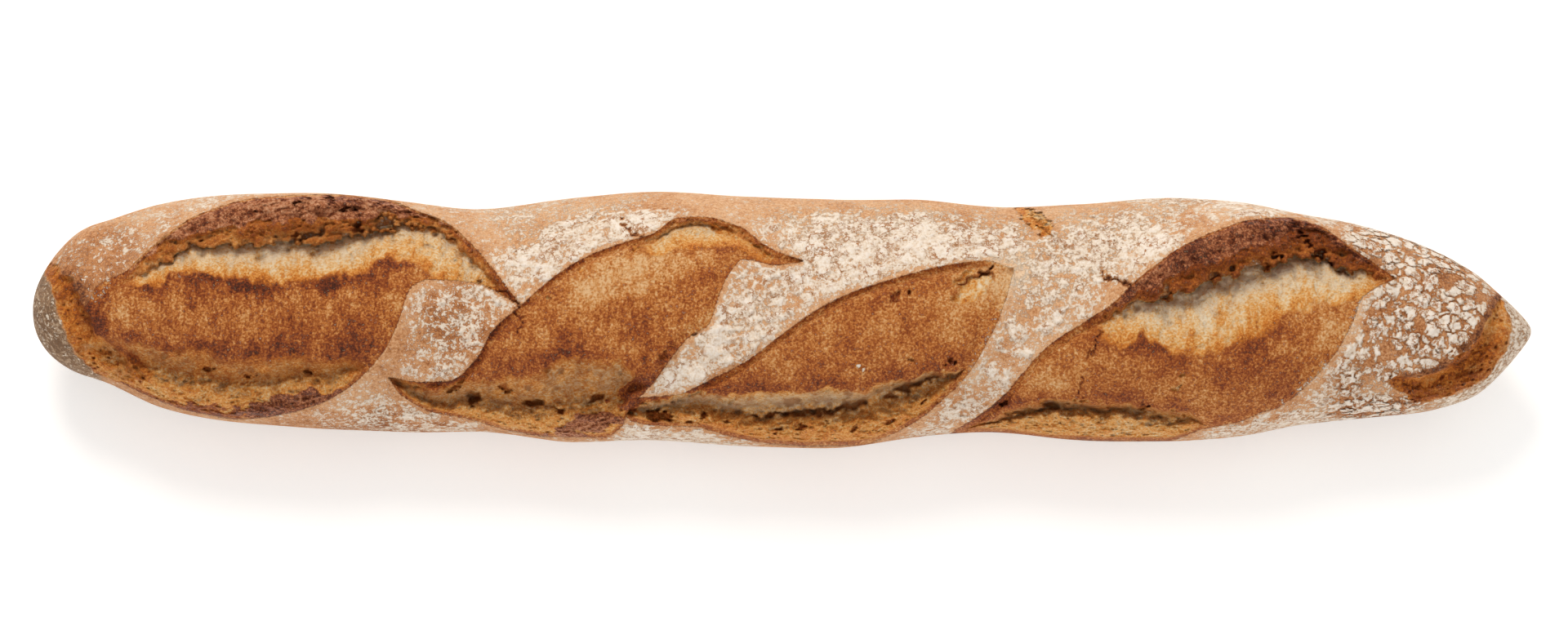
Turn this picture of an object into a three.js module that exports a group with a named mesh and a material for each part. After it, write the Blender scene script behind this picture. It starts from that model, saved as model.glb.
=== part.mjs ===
// A short rustic baguette: one solid loaf with four slanting cuts that have burst open in the oven.
//
// Millimetres, +Z up. X runs along the loaf, -Y is the side that faces the baker, and Z = 0 is the floor.
// The baker looks down on the loaf from slightly in front, and every cut is laid out in that plan view:
// x is the place along the loaf and v the place across it, with +v towards the far side.
// The dough is a lofted oval body. Each cut is then lofted across between two long edges, the lip at the
// far side, where the crust stands up as an ear, and the heel at the near side, where the crumb tore open.

import * as THREE from "three";

// ---- The dough body ----
const LENGTH = 458.8; // tip to tip
const HALF_WIDTH = 36.2; // half the plan width before the loaf narrows or swells
const CROWN = 32; // height of the dough's top over its widest level
const KEEL = 23; // depth of the underside below its widest level
const TIP_LIFT = 6; // how far the widest level rises from the middle of the loaf to its tips
const UNDERSIDE_POWER = 3; // above 2 makes the underside squarer than an oval
const FLAT_SPOT = 1.3; // slice taken off the underside where the loaf stood on the oven floor
const PLAN_TILT = THREE.MathUtils.degToRad(12); // the baker's view, measured from straight above

// Each tip is rounded over a length, with a power of 2 for an oval and less for a pointed tip.
const LEFT_TIP = { length: 70, power: 2 };
const RIGHT_TIP = { length: 95, power: 1.7 };

// The loaf's middle line in plan, [x, v].
const MIDDLE_LINE = [
  [-229.4, 2.2], [-210, 5.6], [-189, 4.3], [-139, 2.6], [-94, -0.1], [-70, -0.2], [-40, 1.2],
  [-12, -0.4], [16, -1.2], [46, 0.6], [93, -0.7], [118, 0.1], [150, 0.2], [170, -0.2], [185, -1.4],
  [200, -3.3], [216, -4.8], [229.4, -3.8],
];

// How much wider the loaf is than HALF_WIDTH where a cut opened, and narrower between cuts, [x, share].
const SWELLING = [
  [-229.4, 0.02], [-218, 0], [-205, -0.08], [-190, -0.048], [-165, -0.037], [-139, -0.011],
  [-114, -0.034], [-94, -0.066], [-62, 0.03], [-24, 0.051], [10, 0.05], [38, 0.006], [66, -0.053],
  [90, -0.009], [118, 0.024], [140, -0.011], [160, -0.06], [180, -0.028], [200, 0.041],
  [212, 0.068], [221, -0.066], [229.4, -0.3],
];

// ---- The four cuts ----
// lip and heel are the long edges of the torn surface in plan, [x, v], from its left end to its right end.
// ear holds [x, height, face, gape]: how high the lip stands, how wide its browned inner face is, and
//   how far the gape below it lies under the surface of the dough.
// tear holds [x, width, depth] of the torn crumb beside the heel, which a ragged edge of crust closes.
// rise is the width over which the crust climbs out of the gape, and bulge its height over the dough.
const CUTS = [
  {
    lip: [
      [-214.9, -10.2], [-211.4, -2.2], [-207.4, 5.8], [-201.9, 12.2], [-188, 25.2], [-177, 32.2],
      [-159.4, 37], [-139.4, 38], [-122, 36.8], [-112, 33.2], [-103, 29.8], [-94, 22.2], [-79.4, 4.2],
    ],
    heel: [
      [-214.9, -10.2], [-208, -15.5], [-192, -24.2], [-179.4, -28.5], [-164.4, -30.5], [-153, -29.2],
      [-139.4, -25.2], [-129.4, -18.8], [-121.4, -10.2], [-117.4, -2.8], [-112.4, 10.2], [-107, 12],
      [-94.4, 11.2], [-79.4, 4.2],
    ],
    ear: [
      [-202, 0, 1, 0], [-188, 4, 5, 4], [-177, 7, 8, 7], [-159, 13, 12.5, 7], [-139, 18, 12, 7],
      [-122, 13, 8, 6], [-112, 8, 6, 5], [-94, 3, 3, 3], [-79.4, 0, 1, 0],
    ],
    tear: [
      [-214.9, 2, 0], [-204, 13, 4], [-189, 17, 6], [-174, 19, 6.5], [-152, 18, 6.5], [-134, 10, 5],
      [-123, 0, 0],
    ],
    rise: 11,
    bulge: 1.5,
  },
  {
    lip: [
      [-119.9, -17.8], [-109.4, -19.2], [-101.4, -18.8], [-93, -12.2], [-88, -3.5], [-79.4, 4.2],
      [-69.4, 12.8], [-59.4, 19], [-46.9, 23.8], [-39.4, 26], [-31.9, 30.8], [-24.4, 31.2],
      [-13, 28.2], [-4.4, 22], [6.9, 17.5],
    ],
    heel: [
      [-119.9, -17.8], [-116.4, -22.8], [-107, -28.2], [-95.6, -30.6], [-84.4, -33.8], [-69.4, -36],
      [-54.4, -36.2], [-48.9, -32.8], [-46.4, -27.2], [-39.4, -19.8], [-33.9, -12.2], [-28, -5.2],
      [-22.4, -1.8], [-19.4, 6.5], [-16, 14], [-11.9, 18.2], [-1.9, 16.5], [6.9, 17.5],
    ],
    ear: [
      [-120, 0, 1, 0], [-80, 1, 1, 0], [-47, 1, 1, 0], [-39, 2, 1.5, 2], [-27, 4.5, 5, 6],
      [-13, 3.5, 3, 4], [-4, 2, 2.5, 2], [6.9, 0, 1, 0],
    ],
    tear: [
      [-119.9, 1, 0], [-117, 4, 4], [-101, 9.5, 6], [-89, 15, 7], [-77, 19, 7.5], [-64, 24, 8],
      [-50, 23, 8], [-46, 12, 7], [-39, 0, 0],
    ],
    rise: 6,
    bulge: 2.5,
  },
  {
    lip: [
      [-48.9, -28.5], [-44.9, -24.2], [-31.9, -23], [-21.9, -18.5], [-11.9, -13.5], [0.6, -4.2],
      [10.6, 2.8], [20.6, 7.8], [35.6, 12.8], [50.6, 16.5], [62, 17.8], [70.6, 15.2],
    ],
    heel: [
      [-48.9, -28.5], [-45.6, -31.2], [-39.4, -32.5], [-27, -32.8], [-17, -35.5], [-4.4, -38],
      [10.6, -38.8], [24.4, -38.2], [33, -35.5], [43, -29.8], [52, -21], [57, -13.5], [60.6, -6],
      [64.4, 1.5], [67.6, 9], [70.6, 15.2],
    ],
    ear: [
      [-49, 0, 1, 0], [-12, 1, 2, 0], [10, 1.8, 2, 0.5], [36, 2.2, 3, 1.5], [55, 2.5, 4, 2.5],
      [70.6, 0, 1, 0],
    ],
    tear: [
      [-48.9, 2, 3], [-39, 8.5, 7], [-22, 11, 8], [-4, 15.5, 9], [11, 17, 9.5], [26, 17, 9.5],
      [36, 15.5, 8.5], [46, 11, 8], [53, 4, 5], [57, 0, 0],
    ],
    rise: 5,
    bulge: 2.5,
  },
  {
    lip: [
      [51.4, -34.8], [60.6, -29.2], [68, -22.8], [73, -16.8], [80.6, -8.5], [93, -0.2], [101.9, 5.8],
      [105.6, 9.8], [111, 14.5], [120.6, 21.5], [130.6, 26.2], [143, 30.2], [153, 31], [163, 28.8],
      [173, 22], [186.9, 12.5],
    ],
    heel: [
      [51.4, -34.8], [64.4, -34.2], [83, -36.2], [98, -36.8], [118, -37], [128, -33.8], [140.6, -31],
      [148, -27.2], [154.4, -22.2], [162, -14.8], [167, -8.5], [173, 1.5], [177, 7.2], [186.9, 12.5],
    ],
    ear: [
      [73, 0.5, 1, 0], [93, 1, 1.5, 0], [102, 2, 3, 3], [111, 6, 6, 7], [121, 8, 11, 9],
      [143, 10, 13.5, 9], [161, 9, 9, 8], [173, 6, 4.5, 5], [186.9, 0, 1, 0],
    ],
    tear: [
      [53, 0.5, 2], [64, 4, 6], [73, 9, 8], [86, 12, 9], [98, 11.5, 9], [111, 10.5, 7], [125, 6, 4],
      [131, 0, 0],
    ],
    rise: 13,
    bulge: 1.5,
  },
];

// Shapes that every cut shares.
const LIP_SPREAD = 7; // how far from the lip the skin outside it is lifted
const HEEL_ROLL = 1.2; // height of the rolled rim along the heel
const HEEL_SPREAD = 4; // how far from the heel the skin outside it is lifted
const TEAR_FLOOR = 0.66; // share of the torn crumb's width where it is deepest
const TEAR_STEP = 3; // width of the broken crust's edge over the torn crumb
const FADE_ANGLE = 0.8; // how far round below the edge of the plan, in radians, the relief reaches

// ---- The bursts at both tips, where the bottom crust split off ----
// path holds [x, v, half width, depth] along the split.
const BURSTS = [
  [[-223, 14.5, 2, 1], [-219, 9, 3, 3], [-216.5, 1, 3.4, 4], [-213, -7, 4, 5], [-205, -13.5, 5, 5]],
  [
    [219.5, 4.5, 1.5, 2], [218.5, -2, 4, 4], [216, -8, 5, 5], [211, -14, 5.5, 6], [203, -19.5, 4.5, 5],
    [194, -21.5, 4, 4], [187, -19, 2, 1],
  ],
];

// ---- The mesh ----
const COLUMNS = 158; // stretches along the loaf
const TOP_ROWS = 26; // strips over the side that faces the baker
const UNDER_ROWS = 11; // strips over the underside
const TIP_CROWDING = 0.3; // 0 spaces the columns evenly and 1 crowds them towards the tips
const UNEVENNESS = 0.5; // height of the dough's gentle lumps

const { clamp, lerp, smoothstep } = THREE.MathUtils;
const sinTilt = Math.sin(PLAN_TILT);
const cosTilt = Math.cos(PLAN_TILT);
const TOWARDS_BAKER = new THREE.Vector3(0, -sinTilt, cosTilt);

// How steeply a line of points runs at one of them, flat where the line turns back, so that it never
// swings past its points.
function steepness(points, i, column) {
  const between = (j) => (points[j + 1][column] - points[j][column]) / (points[j + 1][0] - points[j][0]);
  if (i === 0) return between(0);
  if (i === points.length - 1) return between(i - 1);
  const [before, after] = [between(i - 1), between(i)];
  return before * after > 0 ? (2 * before * after) / (before + after) : 0;
}

// Reads a smooth line through [x, value, value, ...] points at x.
function readLine(points, x, column = 1) {
  const next = points.findIndex((point) => point[0] > x);
  if (next === 0) return points[0][column];
  if (next === -1) return points.at(-1)[column];
  const [from, to] = [points[next - 1], points[next]];
  const reach = to[0] - from[0];
  const t = (x - from[0]) / reach;
  const leave = reach * steepness(points, next - 1, column);
  const arrive = reach * steepness(points, next, column);
  return (
    from[column] * (1 + 2 * t) * (1 - t) ** 2 + leave * t * (1 - t) ** 2
    + to[column] * (3 - 2 * t) * t ** 2 + arrive * (t - 1) * t ** 2
  );
}

// Turns a distance across the loaf into the distance from a line that slants there.
function slantFactor(points, x) {
  const reach = 2;
  const slope = (readLine(points, x + reach) - readLine(points, x - reach)) / (2 * reach);
  return 1 / Math.hypot(1, slope);
}

// How full the loaf is at x: 1 in the middle and 0 at the tips.
function fullness(x) {
  const round = (fromTip, tip) => {
    const share = clamp(1 - fromTip / tip.length, 0, 1);
    return (1 - share ** tip.power) ** (1 / tip.power);
  };
  return round(LENGTH / 2 + x, LEFT_TIP) * round(LENGTH / 2 - x, RIGHT_TIP);
}

// The dough's section at x: its plan middle and half width, and its heights over and under the widest level.
function sectionAt(x) {
  const full = fullness(x);
  const swell = 1 + readLine(SWELLING, x);
  const planHalf = HALF_WIDTH * swell * full;
  const crown = CROWN * swell * full ** 0.85;
  const shown = crown * sinTilt;
  const level = KEEL + TIP_LIFT * (2 * Math.abs(x) / LENGTH) ** 4;
  const middle = readLine(MIDDLE_LINE, x);
  return {
    middle,
    middleY: (middle - (level - KEEL) * sinTilt) / cosTilt,
    planHalf,
    halfWidth: Math.sqrt(Math.max(planHalf ** 2 - shown ** 2, 0)) / cosTilt,
    crown,
    keel: KEEL * full ** 0.85,
    level,
    turn: Math.atan2(shown, Math.sqrt(Math.max(planHalf ** 2 - shown ** 2, 1e-9))),
  };
}

// A point of the bare dough. facing runs from 0 at the far edge of the plan to PI at its near edge, and
// from there to 2 PI under the loaf.
function doughPoint(x, section, facing) {
  const angle = facing + section.turn;
  const side = Math.cos(angle);
  const up = Math.sin(angle);
  const roundness = 2 / UNDERSIDE_POWER;
  const across = up >= 0 ? side : Math.sign(side) * Math.abs(side) ** roundness;
  const rise = up >= 0 ? section.crown * up : -section.keel * Math.abs(up) ** roundness;
  const y = section.middleY + section.halfWidth * across;
  return new THREE.Vector3(x, y, section.level + rise);
}

// The height of a cut's relief inside its lip and heel, where square and above are the distances from
// the heel straight across its slant and straight across the loaf.
function insideCut(cut, x, belowLip, square, above) {
  const height = readLine(cut.ear, x, 1);
  const face = readLine(cut.ear, x, 2);
  const gape = readLine(cut.ear, x, 3);
  const fall = lerp(height, -gape, smoothstep(belowLip, 0, face));
  const fromLip = lerp(fall, cut.bulge, smoothstep(belowLip, face, face + cut.rise));

  const rim = lerp(HEEL_ROLL, cut.bulge, smoothstep(square, 0, HEEL_SPREAD));
  const width = readLine(cut.tear, x, 1);
  const depth = readLine(cut.tear, x, 2);
  const floor = lerp(HEEL_ROLL, -depth, smoothstep(above, 0, Math.max(width * TEAR_FLOOR, 1)));
  const torn = lerp(floor, cut.bulge, smoothstep(above, width - TEAR_STEP, width));
  return fromLip + (depth > 0 ? Math.min(torn, rim) : rim) - cut.bulge;
}

// The height of the skin outside a cut, lifted along its lip and heel.
function besideCut(cut, x, aboveLip, belowHeel) {
  const reachesLip = aboveLip >= 0;
  const distance = reachesLip ? aboveLip / LIP_SPREAD : belowHeel / HEEL_SPREAD;
  return (reachesLip ? readLine(cut.ear, x, 1) : HEEL_ROLL) * Math.exp(-(distance ** 2));
}

// The height of all four cuts at a plan point.
function cutRelief(x, v) {
  let relief = 0;
  for (const cut of CUTS) {
    if (x <= cut.lip[0][0] || x >= cut.lip.at(-1)[0]) continue;
    const belowLip = (readLine(cut.lip, x) - v) * slantFactor(cut.lip, x);
    const above = v - readLine(cut.heel, x);
    const square = above * slantFactor(cut.heel, x);
    if (belowLip > 0 && above > 0) return insideCut(cut, x, belowLip, square, above);
    relief = Math.max(relief, besideCut(cut, x, -belowLip, -square));
  }
  return relief;
}

// The depth of a burst at a plan point: a rounded furrow along its path.
function burstRelief(path, x, v) {
  let deepest = 0;
  for (let i = 1; i < path.length; i += 1) {
    const [x0, v0, half0, depth0] = path[i - 1];
    const [x1, v1, half1, depth1] = path[i];
    const along = clamp(((x - x0) * (x1 - x0) + (v - v0) * (v1 - v0)) / ((x1 - x0) ** 2 + (v1 - v0) ** 2), 0, 1);
    const distance = Math.hypot(x - lerp(x0, x1, along), v - lerp(v0, v1, along));
    const half = lerp(half0, half1, along);
    deepest = Math.max(deepest, lerp(depth0, depth1, along) * (1 - smoothstep(distance, 0, half)));
  }
  return -deepest;
}

// Gentle lumps that keep the dough from looking turned on a lathe.
function lumps(x, facing) {
  return UNEVENNESS * (Math.sin(x / 9 + 2 * facing) + Math.sin(x / 17 - 3 * facing)) * 0.5;
}

// A point of the baked crust. Below the edge of the plan v is laid out onwards, and the relief fades.
function crustPoint(x, section, facing) {
  const point = doughPoint(x, section, facing);
  const below = facing > Math.PI ? Math.min(facing - Math.PI, 2 * Math.PI - facing) : 0;
  const turned = Math.cos(facing);
  const laidOut = below > 0 ? Math.sign(turned) * (1 + below) : turned;
  const v = section.middle + section.planHalf * laidOut;
  const fade = 1 - smoothstep(below, 0, FADE_ANGLE);
  const relief = cutRelief(x, v) + BURSTS.reduce((sum, path) => sum + burstRelief(path, x, v), 0);
  return point.addScaledVector(TOWARDS_BAKER, fade * (relief + lumps(x, facing) * fullness(x)));
}

// One column's points as facing angles. The nearest points are drawn onto the long lines of the cuts and
// carry the line's name, so that the mesh can follow it.
function facingsAt(x, section) {
  const spots = [];
  for (let row = 0; row < TOP_ROWS; row += 1) spots.push({ facing: (Math.PI * row) / TOP_ROWS });
  for (let row = 0; row < UNDER_ROWS; row += 1) spots.push({ facing: Math.PI * (1 + row / UNDER_ROWS) });
  const drawOnto = (v, line) => {
    const share = (v - section.middle) / section.planHalf;
    if (Math.abs(share) > 1) return;
    const facing = Math.acos(share);
    const row = Math.round((facing * TOP_ROWS) / Math.PI);
    if (spots[row].line) return;
    spots[row].line = line;
    if (row > 0 && row < TOP_ROWS) spots[row].facing = facing;
  };
  CUTS.forEach(({ lip, heel, ear, tear }, i) => {
    if (x <= lip[0][0] || x >= lip.at(-1)[0]) return;
    const lipAt = readLine(lip, x);
    const heelAt = readLine(heel, x);
    drawOnto(lipAt, `lip ${i}`);
    drawOnto(heelAt, `heel ${i}`);
    if (readLine(tear, x, 2) > 0) {
      drawOnto(heelAt + readLine(tear, x, 1), `crust ${i}`);
      drawOnto(heelAt + readLine(tear, x, 1) - TEAR_STEP, `floor ${i}`);
    }
    drawOnto(lipAt - readLine(ear, x, 2) / slantFactor(lip, x), `gape ${i}`);
  });
  return spots;
}

// The columns' places along the loaf, tips left out.
function columnPlaces() {
  const places = [];
  for (let column = 1; column < COLUMNS; column += 1) {
    const share = column / COLUMNS;
    const even = 2 * share - 1;
    places.push((LENGTH / 2) * lerp(even, -Math.cos(Math.PI * share), TIP_CROWDING));
  }
  return places;
}

// The two triangles of a four-sided patch a b c d, split along a cut's line where one crosses it, else
// along the shorter diagonal.
function splitPatch(points, lines, [a, b, c, d]) {
  const follows = (from, to) => lines[from] !== undefined && lines[from] === lines[to];
  const splitAtA = points[a].distanceTo(points[c]) < points[b].distanceTo(points[d]);
  const useA = follows(a, c) || (splitAtA && !follows(b, d));
  return useA ? [a, c, b, a, d, c] : [a, d, b, b, d, c];
}

// The loaf's closed surface: rings of points between two tips.
function makeLoafGeometry() {
  const points = [];
  const lines = [];
  const places = columnPlaces();
  for (const x of places) {
    const section = sectionAt(x);
    for (const { facing, line } of facingsAt(x, section)) {
      points.push(crustPoint(x, section, facing));
      lines.push(line);
    }
  }
  for (const x of [-LENGTH / 2, LENGTH / 2]) {
    const { middleY, level } = sectionAt(x);
    points.push(new THREE.Vector3(x, middleY, level));
  }
  for (const point of points) point.z = Math.max(point.z, FLAT_SPOT);

  const faces = [];
  const ringSize = TOP_ROWS + UNDER_ROWS;
  const at = (ring, row) => ring * ringSize + (row % ringSize);
  const lastRing = places.length - 1;
  const [leftTip, rightTip] = [points.length - 2, points.length - 1];
  for (let row = 0; row < ringSize; row += 1) {
    faces.push(leftTip, at(0, row + 1), at(0, row));
    faces.push(rightTip, at(lastRing, row), at(lastRing, row + 1));
    for (let ring = 1; ring <= lastRing; ring += 1) {
      const patch = [at(ring - 1, row), at(ring, row), at(ring, row + 1), at(ring - 1, row + 1)];
      faces.push(...splitPatch(points, lines, patch));
    }
  }
  const geometry = new THREE.BufferGeometry().setFromPoints(points);
  geometry.setIndex(faces);
  return geometry;
}

// Moves the loaf so that the middle of its box is at X = Y = 0 and it stands on Z = 0.
function standOnFloor(geometry) {
  geometry.computeBoundingBox();
  const { min, max } = geometry.boundingBox;
  geometry.translate(-(min.x + max.x) / 2, -(min.y + max.y) / 2, -min.z);
  geometry.computeVertexNormals();
  return geometry;
}

// Baked crust: golden brown, dull and dry.
const crust = new THREE.MeshStandardMaterial({ color: 0xb87742, roughness: 0.85, metalness: 0 });

const loaf = new THREE.Mesh(standOnFloor(makeLoafGeometry()), crust);
loaf.name = "loaf";

const baguette = new THREE.Group();
baguette.add(loaf);

export default baguette;
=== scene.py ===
"""A short rustic baguette, lying on a pale table.

The dough is an oval body. Four slanting cuts have burst open in the oven: each has a lip at the far side,
where the crust stands up as a dark ear, and a heel at the near side, where the crumb tore open. Every cut
is laid out in the baker's plan view, with x along the loaf and v across it, +v towards the far side.
Shapes are worked out in millimetres and stored in metres.
"""

import math

import bpy
import numpy as np
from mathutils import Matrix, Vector


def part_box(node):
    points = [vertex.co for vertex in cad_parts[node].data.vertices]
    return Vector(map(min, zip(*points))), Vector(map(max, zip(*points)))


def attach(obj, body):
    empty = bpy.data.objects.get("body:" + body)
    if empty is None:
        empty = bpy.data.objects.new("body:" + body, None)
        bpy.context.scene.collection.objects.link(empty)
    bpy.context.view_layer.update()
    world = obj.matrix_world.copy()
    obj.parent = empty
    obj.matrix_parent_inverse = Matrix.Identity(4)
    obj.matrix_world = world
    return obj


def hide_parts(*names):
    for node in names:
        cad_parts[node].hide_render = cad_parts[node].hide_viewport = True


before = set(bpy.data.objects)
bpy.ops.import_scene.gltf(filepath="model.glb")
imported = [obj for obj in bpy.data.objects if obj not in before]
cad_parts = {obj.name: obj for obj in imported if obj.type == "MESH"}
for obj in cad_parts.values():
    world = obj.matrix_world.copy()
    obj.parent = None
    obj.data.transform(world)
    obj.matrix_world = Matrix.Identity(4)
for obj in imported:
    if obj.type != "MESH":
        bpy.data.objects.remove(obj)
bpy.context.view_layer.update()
LOW, HIGH = (np.array(corner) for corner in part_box("loaf"))

MM = 0.001

# ---- The dough body ----
LENGTH = 458.8  # tip to tip
HALF_WIDTH = 36.2  # half the plan width before the loaf narrows or swells
CROWN = 32.0  # height of the dough's top over its widest level
KEEL = 23.0  # depth of the underside below its widest level
TIP_LIFT = 6.0  # how far the widest level rises towards the tips
UNDERSIDE_POWER = 3.0  # above 2 makes the underside squarer than an oval
FLAT_SPOT = 1.3  # slice taken off the underside where the loaf stood on the oven floor
PLAN_TILT = math.radians(12)  # the baker's view, measured from straight above
LEFT_TIP = (70.0, 2.0)  # length of the rounded tip, and 2 for an oval or less for a pointed one
RIGHT_TIP = (95.0, 1.7)
FADE_ANGLE = 0.8  # how far below the edge of the plan, in radians, the relief reaches
UNEVENNESS = 0.5  # height of the dough's gentle lumps
LUMP_WAVES = (9, 17)  # about a sixth of the length of each of the two waves that make them
TIP_FULLNESS = 0.85  # below 1, the loaf keeps its height longer than its width towards the tips
THICKNESS = 50.0  # how far the loaf goes down under its middle, along the baker's view
DEEPEST = 0.66  # the share of that thickness that a break may go down

# The loaf's middle line in plan, [x, v].
MIDDLE_LINE = [
    [-229.4, 2.2], [-210, 5.6], [-189, 4.3], [-139, 2.6], [-94, -0.1], [-70, -0.2], [-40, 1.2],
    [-12, -0.4], [16, -1.2], [46, 0.6], [93, -0.7], [118, 0.1], [150, 0.2], [170, -0.2], [185, -1.4],
    [200, -3.3], [216, -4.8], [229.4, -3.8],
]  # fmt: skip

# How much wider the loaf is than HALF_WIDTH, [x, share].
SWELLING = [
    [-229.4, 0.02], [-218, 0], [-205, -0.08], [-190, -0.048], [-165, -0.037], [-139, -0.011],
    [-114, -0.034], [-94, -0.066], [-62, 0.03], [-24, 0.051], [10, 0.05], [38, 0.006], [66, -0.053],
    [90, -0.009], [118, 0.024], [140, -0.011], [160, -0.06], [180, -0.028], [200, 0.041],
    [212, 0.068], [221, -0.066], [229.4, -0.3],
]  # fmt: skip

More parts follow.
